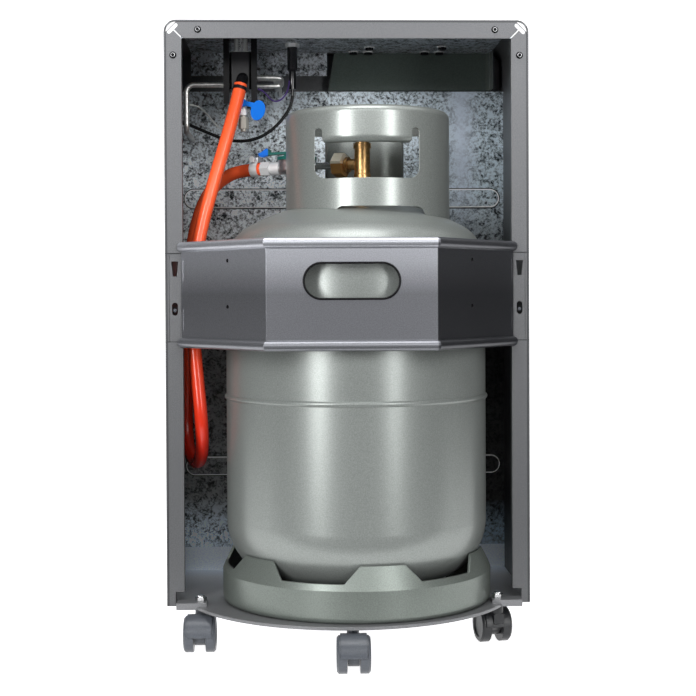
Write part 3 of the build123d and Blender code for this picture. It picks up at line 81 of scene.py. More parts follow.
# places of the rear wall's painted sheen and painted gleam
SHEEN_SIDES = (0.138, 0.166)
SHEEN_RISE = (0.46, 0.56)
GLEAM_HEIGHTS = (0.058, 0.08)
SWAGE_HEIGHTS = (0.521, 0.1815)
SWAGE_RADIUS = 0.0115
SWAGE_STRAIGHT_HALF = 0.1885
# bands of painted shadow and painted highlight round the swages
SWAGE_SHADOW = (0.0004, 0.0016)
SWAGE_GLINT = (-0.0012, 0.0003)
BAND_LOW = 0.34
BAND_HIGH = 0.458
BAND_CORNER = 0.09025
TRAY_FADE = 0.2
SHIELD_GLINT = (0.192, 0.198)
NUT_TOP_FACE = (0.5505, 0.5515)
TAP_SOCKET = (0.6125, 0.613)
VALVE_HEAD = (0.6893, 0.6897)
LEVER_BOSS = (-0.0925, -0.0915)
HOSE_SHADE_FADE = (0.22, 0.52)


# ---- materials -----------------------------------------------------------------------------------
def surface(name, color, roughness, metallic=0.0, coat=0.0):
    """Plain surface, with its node tree's parts to build on."""
    material = bpy.data.materials.new(name)
    material.use_nodes = True
    shader = material.node_tree.nodes["Principled BSDF"]
    shader.inputs["Base Color"].default_value = (*color, 1)
    shader.inputs["Roughness"].default_value = roughness
    shader.inputs["Metallic"].default_value = metallic
    shader.inputs["Coat Weight"].default_value = coat
    shader.inputs["Coat Roughness"].default_value = 0.2
    shader.inputs["Specular IOR Level"].default_value = 0.35
    return material, material.node_tree, shader


def object_place(tree):
    """Socket with the object's own coordinates."""
    return tree.nodes.new("ShaderNodeTexCoord").outputs["Object"]


def noise(tree, scale, detail=2.0, rough=0.5):
    """Noise over the object's own coordinates."""
    texture = tree.nodes.new("ShaderNodeTexNoise")
    texture.inputs["Scale"].default_value = scale
    texture.inputs["Detail"].default_value = detail
    texture.inputs["Roughness"].default_value = rough
    tree.links.new(object_place(tree), texture.inputs["Vector"])
    return texture.outputs["Fac"]


def ramp(tree, value, stops):
    """Colour ramp over a value; stops are (place, colour)."""
    node = tree.nodes.new("ShaderNodeValToRGB")
    elements = node.color_ramp.elements
    while len(elements) < len(stops):
        elements.new(0.5)
    for element, (at, color) in zip(elements, stops):
        element.position = at
        element.color = (*color, 1)
    tree.links.new(value, node.inputs["Fac"])
    return node.outputs["Color"]


def bump(tree, shader, height, strength, distance):
    """Fine relief from a height value."""
    node = tree.nodes.new("ShaderNodeBump")
    node.inputs["Strength"].default_value = strength
    node.inputs["Distance"].default_value = distance
    tree.links.new(height, node.inputs["Height"])
    tree.links.new(node.outputs["Normal"], shader.inputs["Normal"])


def grey(level):
    """Neutral colour of one level."""
    return (level, level, level)


def maths(tree, operation, *terms):
    """One maths node over sockets or plain numbers."""
    node = tree.nodes.new("ShaderNodeMath")
    node.operation = operation
    for socket, term in zip(node.inputs, terms):
        if isinstance(term, (int, float)):
            socket.default_value = term
        else:
            tree.links.new(term, socket)
    return node.outputs["Value"]


def product(tree, *factors):
    """All factors, sockets or plain numbers, multiplied together."""
    result = factors[0]
    for factor in factors[1:]:
        result = maths(tree, "MULTIPLY", result, factor)
    return result


def distance(tree, first, second):
    """Length of the slant over two arms at right angles."""
    squares = [product(tree, arm, arm) for arm in (first, second)]
    return maths(tree, "SQRT", maths(tree, "ADD", *squares))


def own_axes(tree):
    """The object's own sideways, depth and height places, as sockets in metres."""
    axes = tree.nodes.new("ShaderNodeSeparateXYZ")
    tree.links.new(object_place(tree), axes.inputs["Vector"])
    return axes.outputs["X"], axes.outputs["Y"], axes.outputs["Z"]


def scaled(tree, value, low, high):
    """A value mapped from low..high to 0..1."""
    node = tree.nodes.new("ShaderNodeMapRange")
    node.inputs["From Min"].default_value = low
    node.inputs["From Max"].default_value = high
    tree.links.new(value, node.inputs["Value"])
    return node.outputs["Result"]


def above(tree, value, limit, soft=SOFT_EDGE):
    """1 where a value lies over a limit, with a soft edge."""
    return scaled(tree, value, limit - soft, limit + soft)


def below(tree, value, limit, soft=SOFT_EDGE):
    """1 where a value lies under a limit, with a soft edge."""
    return scaled(tree, value, limit + soft, limit - soft)


def within(tree, value, low, high, soft=SOFT_EDGE):
    """1 where a value lies between two limits, with soft edges."""
    return product(tree, above(tree, value, low, soft), below(tree, value, high, soft))


def mixed(tree, first, second, factor=1.0, blend="MIX"):
    """Mix of two colours; each term is a socket or a plain value."""
    node = tree.nodes.new("ShaderNodeMix")
    node.data_type = "RGBA"
    node.blend_type = blend
    if isinstance(factor, float):
        node.inputs["Factor"].default_value = factor
    else:
        tree.links.new(factor, node.inputs["Factor"])
    for socket, source in zip((node.inputs[6], node.inputs[7]), (first, second)):
        if isinstance(source, tuple):
            socket.default_value = (*source, 1)
        else:
            tree.links.new(source, socket)
    return node.outputs[2]


def textured_paint(name, color, roughness, metallic=0.0, grain=0.25, painted_light_and_marks=None):
    """Powder coat: one colour with a fine orange-peel grain, worn bright along its edges."""
    material, tree, shader = surface(name, color, roughness, metallic)
    bump(tree, shader, noise(tree, 1400, 1), grain, 0.00012)
    tone = ramp(
        tree,
        noise(tree, 900, 1),
        [(0.3, tuple(0.86 * c for c in color)), (0.7, tuple(1.12 * c for c in color))],
    )
    # painted light and shade by place, with other marks, when asked for
    if painted_light_and_marks:
        tone = painted_light_and_marks(tree, tone)
    tree.links.new(tone, shader.inputs["Base Color"])
    rounded = tree.nodes.new("ShaderNodeBevel")
    rounded.inputs["Radius"].default_value = WORN_EDGE_RADIUS
    relief = shader.inputs["Normal"].links[0].from_node
    tree.links.new(rounded.outputs["Normal"], relief.inputs["Normal"])
    return material


def spangle(tree):
    """Crystal spangle of galvanised sheet: a value from dark to light, and one for its gloss."""
    grain = tree.nodes.new("ShaderNodeTexNoise")
    grain.inputs["Scale"].default_value = 85
    grain.inputs["Detail"].default_value = 10
    grain.inputs["Roughness"].default_value = 0.8
    grain.inputs["Distortion"].default_value = 0.9
    tree.links.new(object_place(tree), grain.inputs["Vector"])
    cells = tree.nodes.new("ShaderNodeTexVoronoi")
    cells.inputs["Scale"].default_value = 420
    tree.links.new(object_place(tree), cells.inputs["Vector"])
    parts = tree.nodes.new("ShaderNodeSeparateColor")
    tree.links.new(cells.outputs["Color"], parts.inputs["Color"])
    fine = product(tree, noise(tree, 330, 3, 0.65), 0.3)
    value = maths(tree, "MULTIPLY_ADD", grain.outputs["Fac"], 0.7, fine)
    value = maths(tree, "MULTIPLY_ADD", parts.outputs["Red"], 0.06, value)
    return value, parts.outputs["Green"]


def spangled_zinc(name, dark, light, metallic, painted_light_and_marks=None):
    """Galvanised sheet: crystal spangle of many greys, with painted light and shade by place on
    request.
    """
    material, tree, shader = surface(name, grey(0.6), 0.42, metallic)
    value, gloss_value = spangle(tree)
    middle = tuple(0.5 * c for c in light)
    tone = ramp(tree, value, [(0.45, dark), (0.51, middle), (0.57, light), (1.0, light)])
    if painted_light_and_marks:
        tone = painted_light_and_marks(tree, tone)
    tree.links.new(tone, shader.inputs["Base Color"])
    gloss = ramp(tree, gloss_value, [(0.0, grey(0.3)), (1.0, grey(0.55))])
    tree.links.new(gloss, shader.inputs["Roughness"])
    return material


def wall_light_and_shade_ramps(tree, side, height):
    """Painted light and shade on the rear wall from foot to head, with painted shade darker towards
    the right.
    """
    rise = scaled(tree, height, WALL_FOOT, WALL_HEAD)
    left = ramp(
        tree,
        rise,
        [
            (0.0, grey(0.4)),
            (0.025, (1.2, 1.35, 1.5)),
            (0.07, (1.2, 1.35, 1.5)),
            (0.15, grey(0.34)),
            (0.5, grey(0.24)),
            (0.62, grey(0.85)),
            (0.8, (1.1, 1.16, 1.2)),
            (1.0, (0.72, 0.78, 0.82)),
        ],
    )
    right = ramp(
        tree,
        rise,
        [
            (0.0, grey(0.05)),
            (0.03, (0.4, 0.52, 0.65)),
            (0.08, (0.45, 0.58, 0.7)),
            (0.14, grey(0.05)),
            (0.5, grey(0.02)),
            (0.6, grey(0.4)),
            (0.8, (0.6, 0.7, 0.76)),
            (1.0, (0.6, 0.68, 0.74)),
        ],
    )
    return mixed(tree, left, right, scaled(tree, side, *WALL_SHADED_SIDES))


def swage_distance(tree, side, height):
    """Distance outwards from the rim of the nearest pressed swage."""
    past_straight = maths(tree, "SUBTRACT", maths(tree, "ABSOLUTE", side), SWAGE_STRAIGHT_HALF)
    sideways = maths(tree, "MAXIMUM", past_straight, 0)
    offsets = [
        maths(tree, "ABSOLUTE", maths(tree, "SUBTRACT", height, swage_z))
        for swage_z in SWAGE_HEIGHTS
    ]
    upright = maths(tree, "MINIMUM", *offsets)
    return maths(tree, "SUBTRACT", distance(tree, sideways, upright), SWAGE_RADIUS)


def wall_painted_light(tree, tone):
    """Rear wall: painted light and shade by place, with a painted sheen, a painted bluish gleam and
    painted shadow and highlight lines round its swages.
    """
    side, _, height = own_axes(tree)
    tone = mixed(tree, tone, wall_light_and_shade_ramps(tree, side, height), 1.0, "MULTIPLY")
    # painted smooth vertical sheen, high on the right
    sheen = product(
        tree, within(tree, side, *SHEEN_SIDES, soft=0.012), scaled(tree, height, *SHEEN_RISE), 0.8
    )
    tone = mixed(tree, tone, (0.6, 0.68, 0.8), sheen)
    # painted bluish gleam along the foot
    gleam = product(tree, within(tree, height, *GLEAM_HEIGHTS, soft=0.016), 0.65)
    tone = mixed(tree, tone, (0.75, 0.88, 1.0), gleam)
    # painted shadow line outside and painted highlight rim inside each pressed swage
    outside = swage_distance(tree, side, height)
    tone = mixed(tree, tone, grey(0.01), within(tree, outside, *SWAGE_SHADOW))
    return mixed(tree, tone, grey(1.0), within(tree, outside, *SWAGE_GLINT))


def notch_patch(tree, from_side, from_top):
    """1 on the bare patch round each corner notch, up to a line across and an arc outside."""
    before_notch = below(tree, maths(tree, "ADD", from_side, from_top), NOTCH_REACH)
    side_arm = maths(tree, "SUBTRACT", from_side, CORNER_RADIUS)
    top_arm = maths(tree, "SUBTRACT", from_top, CORNER_RADIUS)
    inside_arc = below(tree, distance(tree, side_arm, top_arm), NOTCH_ARC)
    return product(tree, before_notch, inside_arc)


def frame_painted_shade_and_patches(tree, tone):
    """Cabinet frame: dark fold and strip lines painted as shade, a darker foot and bare corner
    patches.
    """
    side, depth, height = own_axes(tree)
    from_side = maths(tree, "SUBTRACT", CABINET_HALF, maths(tree, "ABSOLUTE", side))
    from_top = maths(tree, "SUBTRACT", CABINET_TOP, height)
    on_face = scaled(tree, depth, *(REAR_Y + skin for skin in FACE_SKIN))
    # painted shade: dark lines along the rounded fold and the strips' steps
    fold = within(tree, maths(tree, "MINIMUM", from_side, from_top), *RIM_FOLD, soft=0.0005)
    strips = [
        within(tree, height, z - STRIP_LINE_HALF, z + STRIP_LINE_HALF) for z in STRIP_ENDS
    ]
    shade_lines = maths(tree, "MAXIMUM", fold, maths(tree, "MAXIMUM", *strips))
    tone = mixed(tree, tone, (0.03, 0.031, 0.034), product(tree, shade_lines, on_face))
    rise = scaled(tree, height, FRAME_FOOT, CABINET_TOP)
    fade = ramp(tree, rise, [(0.0, grey(0.68)), (1.0, grey(1.0))])
    tone = mixed(tree, tone, fade, 1.0, "MULTIPLY")
    patch = product(tree, notch_patch(tree, from_side, from_top), on_face)
    return mixed(tree, tone, grey(0.85), patch)


def band_painted_light_and_shade(tree, tone):
    """Bracket: painted light brighter towards its upper bead, painted shade dulling the right
    facet.
    """
    side, _, height = own_axes(tree)
    # painted light: brighter towards the upper bead
    fade = ramp(
        tree,
        scaled(tree, height, BAND_LOW, BAND_HIGH),
        [
            (0.0, grey(1.4)),
            (0.08, grey(1.15)),
            (0.5, grey(1.05)),
            (0.8, grey(2.3)),
            (1.0, grey(2.8)),
        ],
    )
    tone = mixed(tree, tone, fade, 1.0, "MULTIPLY")
    # painted shade on the right facet
    right_facet_shade = product(tree, above(tree, side, BAND_CORNER, 0.00075), 0.8)
    return mixed(tree, tone, (0.03, 0.031, 0.036), right_facet_shade)


def tray_painted_glow(tree, tone):
    """Tray: a painted glow brighter by the rear wall, darker towards the opening."""
    _, depth, _ = own_axes(tree)
    fade = ramp(
        tree,
        scaled(tree, depth, REAR_Y, REAR_Y + TRAY_FADE),
        [(0.0, grey(0.5)), (0.4, grey(1.2)), (0.75, grey(2.0)), (1.0, (2.4, 2.6, 2.8))],
    )
    return mixed(tree, tone, fade, 1.0, "MULTIPLY")


def shield_painted_reflection(tree, tone):
    """Heat shield: a painted pale reflection, a vertical streak at its right end."""
    side, _, _ = own_axes(tree)
    reflection_streak = product(tree, within(tree, side, *SHIELD_GLINT, soft=0.008), 0.8)
    return mixed(tree, tone, (0.2, 0.22, 0.21), reflection_streak)


def metal(name, color, roughness, blotch=0.0):
    """Bare metal with faint uneven polish."""
    material, tree, shader = surface(name, color, roughness, 1.0)
    low = tuple(c * (1 - blotch) for c in color)
    tone = ramp(tree, noise(tree, 300, 3), [(0.35, low), (0.65, color)])
    tree.links.new(tone, shader.inputs["Base Color"])
    gloss = ramp(
        tree, noise(tree, 500, 2), [(0.3, grey(roughness * 0.8)), (0.7, grey(roughness * 1.25))]
    )
    tree.links.new(gloss, shader.inputs["Roughness"])
    return material


def plastic(name, color, roughness, coat=0.0, gloss=0.35):
    """Moulded plastic or rubber with a trace of grain."""
    material, tree, shader = surface(name, color, roughness, 0.0, coat)
    shader.inputs["Specular IOR Level"].default_value = gloss
    bump(tree, shader, noise(tree, 2200, 1), 0.08, 0.00008)
    return material


def two_tone(name, first, second, axis, limits, roughness, metallic=0.0, coat=0.0):
    """One colour up to the limits on the object's own axis and another past them."""
    material, tree, shader = surface(name, first, roughness, metallic, coat)
    bump(tree, shader, noise(tree, 2200, 1), 0.08, 0.00008)
    along = own_axes(tree)["XYZ".index(axis)]
    tone = mixed(tree, first, second, scaled(tree, along, *limits))
    tree.links.new(tone, shader.inputs["Base Color"])
    return material


def pierced_ceramic(name, color):
    """Plaque pressed with rows of fine round flame ports."""
    material, tree, shader = surface(name, color, 0.85)
    ports = tree.nodes.new("ShaderNodeTexVoronoi")
    ports.inputs["Scale"].default_value = 330
    ports.inputs["Randomness"].default_value = 0.0
    flat = tree.nodes.new("ShaderNodeVectorMath")
    flat.operation = "MULTIPLY"
    flat.inputs[1].default_value = (1, 0, 1)
    tree.links.new(object_place(tree), flat.inputs[0])
    tree.links.new(flat.outputs["Vector"], ports.inputs["Vector"])
    shaded = tuple(0.8 * c for c in color)
    # the port centres are painted dark, as painted shade inside the holes
    tone = ramp(
        tree,
        ports.outputs["Distance"],
        [(0.22, (0.1, 0.085, 0.07)), (0.3, color), (0.6, color), (1.0, shaded)],
    )
    tree.links.new(tone, shader.inputs["Base Color"])
    bump(tree, shader, ports.outputs["Distance"], 0.5, 0.0006)
    return material


# paints
dark_paint = textured_paint("dark_paint", (0.15, 0.153, 0.16), roughness=0.42, metallic=0.5)
frame_paint = textured_paint(
    "frame_paint", (0.15, 0.153, 0.16), roughness=0.42, metallic=0.5, painted_light_and_marks=frame_painted_shade_and_patches
)
band_paint = textured_paint(
    "band_paint", (0.17, 0.174, 0.19), roughness=0.33, metallic=0.7, grain=0.08, painted_light_and_marks=band_painted_light_and_shade
)
tray_paint = textured_paint(
    "tray_paint", (0.36, 0.366, 0.38), roughness=0.38, metallic=0.4, grain=0.1, painted_light_and_marks=tray_painted_glow
)
shield_paint = textured_paint(
    "shield_paint",
    (0.07, 0.088, 0.08),
    roughness=0.3,
    metallic=0.3,
    grain=0.1,
    painted_light_and_marks=shield_painted_reflection,
)
cylinder_paint = textured_paint(
    "cylinder_paint", (0.25, 0.269, 0.258), roughness=0.31, metallic=0.36, grain=0.02
)
# the collar takes a lighter copy of the cylinder paint, as painted light
collar_paint_lit = textured_paint(
    "collar_paint_lit", (0.29, 0.312, 0.298), roughness=0.28, metallic=0.45, grain=0.02
)
# the foot ring takes a darker copy of the cylinder paint, as painted shade
ring_paint_shaded = textured_paint(
    "foot_ring_paint", (0.18, 0.203, 0.186), roughness=0.36, metallic=0.5, grain=0.02
)

# galvanised sheets
zinc = spangled_zinc("galvanised", (0.03, 0.034, 0.04), (0.75, 0.8, 0.86), metallic=0.45)
reflector_zinc = spangled_zinc(
    "reflector_zinc", (0.3, 0.32, 0.34), (0.75, 0.78, 0.82), metallic=0.7
)
# the rear wall's zinc carries painted light and shade by place
wall_zinc = spangled_zinc(
    "rear_wall_zinc", (0.02, 0.024, 0.028), (0.95, 0.98, 1.0), metallic=0.2, painted_light_and_marks=wall_painted_light
)

# metals
brass = metal("brass", (0.66, 0.4, 0.17), roughness=0.36, blotch=0.35)
# the nut's upper face is painted near white as a highlight
nut_brass_painted_highlight = two_tone(
    "nut_brass_painted_highlight",
    (0.42, 0.22, 0.07),
    (1.0, 0.93, 0.75),
    "Z",
    NUT_TOP_FACE,
    roughness=0.3,
    metallic=0.4,
)
bright = metal("bright_steel", (0.78, 0.79, 0.8), roughness=0.2, blotch=0.1)
silver, _, _ = surface("silver", (0.85, 0.86, 0.87), roughness=0.3, metallic=0.35)
pipe_steel = metal("pipe_steel", (0.74, 0.74, 0.72), roughness=0.38, blotch=0.25)
tap_metal = two_tone(
    "tap_metal",
    (0.55, 0.52, 0.46),
    (1.0, 1.0, 1.0),
    "Z",
    TAP_SOCKET,
    roughness=0.3,
    metallic=0.3,
)
cast = metal("die_cast", (0.62, 0.64, 0.66), roughness=0.42, blotch=0.15)
axle = metal("axle_steel", (0.55, 0.56, 0.58), roughness=0.3)

# enamel and plastics
enamel = plastic("black_enamel", (0.006, 0.006, 0.007), roughness=0.22, gloss=0.12)
valve_enamel = two_tone(
    "valve_enamel", (0.012, 0.012, 0.014), (0.5, 0.52, 0.52), "Z", VALVE_HEAD, roughness=0.25
)
green = plastic("green_plastic", (0.01, 0.12, 0.1), roughness=0.35, coat=0.2)
lever_plastic = two_tone(
    "lever_plastic", (0.0, 0.16, 0.72), (0.01, 0.12, 0.1), "X", LEVER_BOSS, roughness=0.4
)
black = plastic("black_plastic", (0.01, 0.01, 0.012), roughness=0.2, gloss=0.3)
glossy_black = plastic(
    "glossy_black", (0.01, 0.01, 0.012), roughness=0.12, coat=0.4, gloss=0.5
)
castor_grey = textured_paint("castor_plastic", (0.07, 0.077, 0.09), roughness=0.3, grain=1.0)
# a darker copy of the castor plastic, as painted shade on the right rear castor
castor_shaded = textured_paint(
    "castor_plastic_shaded", (0.016, 0.017, 0.019), roughness=0.3, grain=1.0
)
blue = plastic("blue_plastic", (0.0, 0.15, 0.66), roughness=0.4, gloss=0.12)
pale_trim = plastic("pale_trim", (0.85, 0.86, 0.87), roughness=0.35)

# rubber, wires and ceramic
# the hose rubber is painted darker lower down, as painted shade inside the cabinet
hose_rubber = two_tone(
    "hose_rubber",
    (0.6, 0.018, 0.006),
    (0.92, 0.11, 0.03),
    "Z",
    HOSE_SHADE_FADE,
    roughness=0.26,
    coat=0.4,
)
lead_rubber = plastic("lead_rubber", (0.008, 0.008, 0.009), roughness=0.3, gloss=0.2)
purple_sleeve = plastic("purple_sleeve", (0.13, 0.07, 0.32), roughness=0.4)
pale_wire = plastic("pale_wire", (0.62, 0.64, 0.63), roughness=0.35)
ceramic = pierced_ceramic("ceramic", (0.8, 0.75, 0.66))

# ---- which node wears which finish ---------------------------------------------------------------
by_slot = {
    "dark_paint": dark_paint,
    "galvanised": zinc,
    "cylinder_paint": cylinder_paint,
    "brass": brass,
    "bright_steel": bright,
    "die_cast": cast,
    "black_enamel": enamel,
    "black_plastic": black,
    "castor_plastic": castor_grey,
    "axle_steel": axle,
    "blue_plastic": blue,
    "hose_rubber": hose_rubber,
    "lead_rubber": lead_rubber,
    "ceramic": ceramic,
}
own_paint = {
    "cabinet_wrapper": frame_paint,
    "retaining_bracket": band_paint,
    "upper_heat_shield": shield_paint,
    "rear_wall": wall_zinc,
    "burner_box": reflector_zinc,
    "base_tray": tray_paint,
    "cylinder_collar": collar_paint_lit,
    "cylinder_foot_ring": ring_paint_shaded,
    "gas_valve": valve_enamel,
    "gas_pipes": pipe_steel,
    "regulator_nut": nut_brass_painted_highlight,
    "regulator_tail": silver,
    "regulator_bonnet": green,
    "regulator_lever": lever_plastic,
    "hose_clip_regulator": silver,
    "hose_clip_valve": black,
    "tap_body": tap_metal,
    "roof_bolts": enamel,
    "igniter_body": glossy_black,
    "igniter_nut": silver,
    "castor_housing_rear_right": castor_shaded,
    "castor_wheels_rear_right": castor_shaded,
}
for part in frame["record"]["subparts"]:
    node = frame["nodes"][part["node"]]
    node.data.materials.clear()
    node.data.materials.append(own_paint.get(part["node"], by_slot[part["material_slot"]]))


# ---- cords ---------------------------------------------------------------------------------------
def flexible(name, points, diameter, material):
    """Round tube whose centreline is a NURBS curve led by a row of points."""
    curve = bpy.data.curves.new(name, "CURVE")
    curve.dimensions = "3D"
    curve.bevel_depth = diameter / 2
    curve.bevel_resolution = 6
    curve.use_fill_caps = True
    spline = curve.splines.new("NURBS")
    spline.points.add(len(points) - 1)
    for target, source in zip(spline.points, points):
        target.co = (*source, 1)
    spline.order_u = 3
    spline.use_endpoint_u = True
    spline.resolution_u = 12
    curve.materials.append(material)
    tube = bpy.data.objects.new(name, curve)
    bpy.context.scene.collection.objects.link(tube)
    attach(tube, "root")
    return tube


# gas hose: down from the control valve's elbow, round a hanging loop and up to the regulator
hose_route = [
    place(-123.3, 76, 648),
    place(-129.8, 68, 618),
    place(-141.3, 56, 575),
    place(-154.8, 44, 527),
    place(-169, 35, 474),
    place(-178, 28, 418),
    place(-178, 24, 362),
    place(-173, 21, 305),
    place(-167.5, 20, 249),
    place(-169.5, 48.5, 209.5),
    place(-180, 94, 195),
    place(-193, 139.5, 209.5),
    place(-197, 168, 249),
    place(-196.5, 171, 298),
    place(-196, 171, 345),
    place(-195, 168, 388),
    place(-193, 163, 431),
    place(-185, 153, 478),
    place(-171, 142, 519),
    place(-150, 129, 540),
    place(-125.32, 113.524, 550),
    place(-98.832, 99.44, 550),
]
hose = flexible("gas_hose_tube", hose_route, 0.0155, hose_rubber)
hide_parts("gas_hose")

# igniter's lead: from its foot over to the side of the cabinet
lead_route = [
    place(-62.5, 146, 644),
    place(-63.5, 146, 634),
    place(-70.5, 144, 621),
    place(-82.5, 141, 606),
    place(-99.5, 138, 593),
    place(-119.5, 136, 587),
    place(-141.5, 135, 588),
    place(-162.5, 136, 596),
    place(-180.5, 138, 604),
    place(-194.5, 140, 610),
    place(-206, 140, 610),
]
lead = flexible("igniter_lead_wire", lead_route, 0.004, lead_rubber)
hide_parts("igniter_lead")

# thin wires beside the control valve: one pale, one in a purple sleeve
wires = {
    "pale_wire_run": (
        pale_wire,
        0.0022,
        [
            (-190, 140, 632),
            (-180, 138, 632),
            (-168, 134, 622),
            (-156, 128, 606),
            (-143, 122, 596),
            (-131, 118, 592),
        ],
    ),
    "purple_wire_run": (
        purple_sleeve,
        0.0018,
        [
            (-104, 112, 648),
            (-97, 116, 646),
            (-90, 122, 637),
            (-82, 128, 634),
            (-73, 134, 640),
            (-67, 139, 652),
            (-66.5, 141.4, 662),
        ],
    ),
}
for wire_name, (wire_material, wire_diameter, wire_stops) in wires.items():
    flexible(wire_name, [place(*stop) for stop in wire_stops], wire_diameter, wire_material)

# end loop of the feed pipes, right of the control valve
flexible(
    "feed_pipe_loop",
    [
        place(-111, 107, 660.5),
        place(-84, 107, 660.5),
        place(-76, 108, 660.2),
        place(-75.5, 112, 656),
        place(-76, 115, 651.8),
        place(-84, 116, 651.5),
        place(-111, 116, 651.5),
    ],
    0.0062,
    pipe_steel,
)


# ---- turned trims --------------------------------------------------------------------------------
SPIN_STEPS = 24


def turned(name, profile, centres, axis, material, body="root"):
    """Copies of one profile of (radius, rise) in millimetres, spun about an axis at each centre."""
    mesh = bmesh.new()
    out = Vector(axis).normalized()
    across = out.orthogonal().normalized()
    for centre in centres:
        offsets = [(across * radius + out * rise) / 1000 for radius, rise in profile]
        rim = [mesh.verts.new(centre + offset) for offset in offsets]
        edges = [mesh.edges.new(pair) for pair in zip(rim, rim[1:])]
        bmesh.ops.spin(
            mesh, geom=rim + edges, cent=centre, axis=out, angle=math.tau, steps=SPIN_STEPS
        )
    bmesh.ops.remove_doubles(mesh, verts=mesh.verts, dist=1e-6)
    bmesh.ops.recalc_face_normals(mesh, faces=mesh.faces)
    data = bpy.data.meshes.new(name)
    mesh.to_mesh(data)
    mesh.free()
    data.shade_smooth()
    data.materials.append(material)
    trim = bpy.data.objects.new(name, data)
    bpy.context.scene.collection.objects.link(trim)
    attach(trim, body)
    return trim


SCREW_PLACES = ((168.5, 699), (196.5, 670))
ROOF_UNDERSIDE = 708.2
ROOF_BOLT_PLACES = ((15, 205), (34, 170), (34, 205), (106, 205), (125, 165), (125, 205))
BAND_DEPTH = -130
BAND_FRONT_HALF = 90
FACET_RUN = 98.5
FACET_RISE = 128.8
FACET_HOLE_SHARE = 0.435
FACET_HOLE_HEIGHTS = (436, 386)
STRIP_EYE_SIDE = 196
STRIP_EYE_DEPTH = 1.5
STRIP_EYE_Z = 381.5
TO_REAR = (0, -1, 0)
DOWN = (0, 0, -1)

# cross-recess screws of the frame: a pale ring round a dark dome
screw_centres = [place(side * x, 0, z) for side in (-1, 1) for x, z in SCREW_PLACES]
screw_ring = [(1.8, 2.2), (2.0, 2.5), (2.4, 2.5), (2.5, 2.0)]
screw_dome = [(0, 3.0), (1.0, 2.8), (1.7, 2.1)]
turned("frame_screw_rings", screw_ring, screw_centres, TO_REAR, axle)
turned("frame_screw_domes", screw_dome, screw_centres, TO_REAR, enamel)

# pale washers round the bolts under the roof
turned(
    "roof_bolt_washers",
    [(5.2, 0.1), (5.2, 1.0), (6.6, 1.0), (6.8, 0.1)],
    [place(x, depth, ROOF_UNDERSIDE) for x, depth in ROOF_BOLT_PLACES],
    DOWN,
    pale_trim,
)

# dark discs as painted shade round the small holes in the bracket's slanted facets
for side, facet in ((-1, "left"), (1, "right")):
    hole_side = side * (BAND_FRONT_HALF + FACET_HOLE_SHARE * FACET_RUN)
    hole_depth = BAND_DEPTH + FACET_HOLE_SHARE * FACET_RISE
    turned(
        f"facet_hole_shades_{facet}",
        [(0, 0.15), (1.5, 0.3), (2.0, 0.25), (2.2, 0)],
        [place(hole_side, hole_depth, z) for z in FACET_HOLE_HEIGHTS],
        (side * FACET_RISE, -FACET_RUN, 0),
        enamel,
        "bracket",
    )

# pegs in the round ends of the frame's strip eyes
turned(
    "strip_eye_pegs",
    [(0, 1.2), (1.4, 1.0), (2.2, 0.0), (2.2, -2.0)],
    [place(side * STRIP_EYE_SIDE, STRIP_EYE_DEPTH, STRIP_EYE_Z) for side in (-1, 1)],
    TO_REAR,
    castor_grey,
)

# ---- rolled edge of the bracket's hand slot, black as painted shade ------------------------------
SLOT_STRAIGHT_HALF = 31.6
SLOT_RADIUS = 18.9
SLOT_Z = 413
SLOT_EDGE_RADIUS = 0.0012
SLOT_ARC_STEP = 6
slot_edge = bpy.data.curves.new("hand_slot_edge", "CURVE")
slot_edge.dimensions = "3D"
slot_edge.bevel_depth = SLOT_EDGE_RADIUS
slot_edge.bevel_resolution = 4
loop = slot_edge.splines.new("POLY")
loop_stops = [
    (
        end * SLOT_STRAIGHT_HALF + SLOT_RADIUS * math.cos(math.radians(angle)),
        SLOT_Z + SLOT_RADIUS * math.sin(math.radians(angle)),
    )
    for end, first in ((1, -90), (-1, 90))
    for angle in range(first, first + 180 + 1, SLOT_ARC_STEP)
]
loop.points.add(len(loop_stops) - 1)
for stop, (x, z) in zip(loop.points, loop_stops):
    stop.co = (*place(x, BAND_DEPTH, z), 1)
loop.use_cyclic_u = True
# black instead of the bracket's paint, as painted shade at the rolled lip
slot_edge.materials.append(enamel)
slot_rim = bpy.data.objects.new("hand_slot_edge", slot_edge)
bpy.context.scene.collection.objects.link(slot_rim)
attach(slot_rim, "bracket")


# ---- bare tabs of the inner sheet that show through the frame's corner notches -------------------
TAB_OUTLINE = ((206, 691), (206, 697), (202.5, 704.5), (195, 709), (189, 709), (187.4, 689.4))
TAB_DEPTH = 0.4
TAB_SHEET = Vector((0, 0.0006, 0))
tab_size = len(TAB_OUTLINE)
tab_edges = [(i, (i + 1) % tab_size) for i in range(tab_size)]
# each face is listed outright, so that every run makes the same mesh
tab_faces = [tuple(range(tab_size)), tuple(range(2 * tab_size - 1, tab_size - 1, -1))]
tab_faces += [(end, start, start + tab_size, end + tab_size) for start, end in tab_edges]
for side, corner in ((-1, "left"), (1, "right")):
    # the left tab runs its outline backwards, which keeps its faces turned outwards
    front = [place(side * x, TAB_DEPTH, z) for x, z in TAB_OUTLINE[::side]]
    back = [spot + TAB_SHEET for spot in front]
    tab_data = bpy.data.meshes.new(f"notch_tab_{corner}")
    tab_data.from_pydata(front + back, [], tab_faces)
    tab_data.materials.append(pale_trim)
    tab = bpy.data.objects.new(f"notch_tab_{corner}", tab_data)
    bpy.context.scene.collection.objects.link(tab)
    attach(tab, "root")


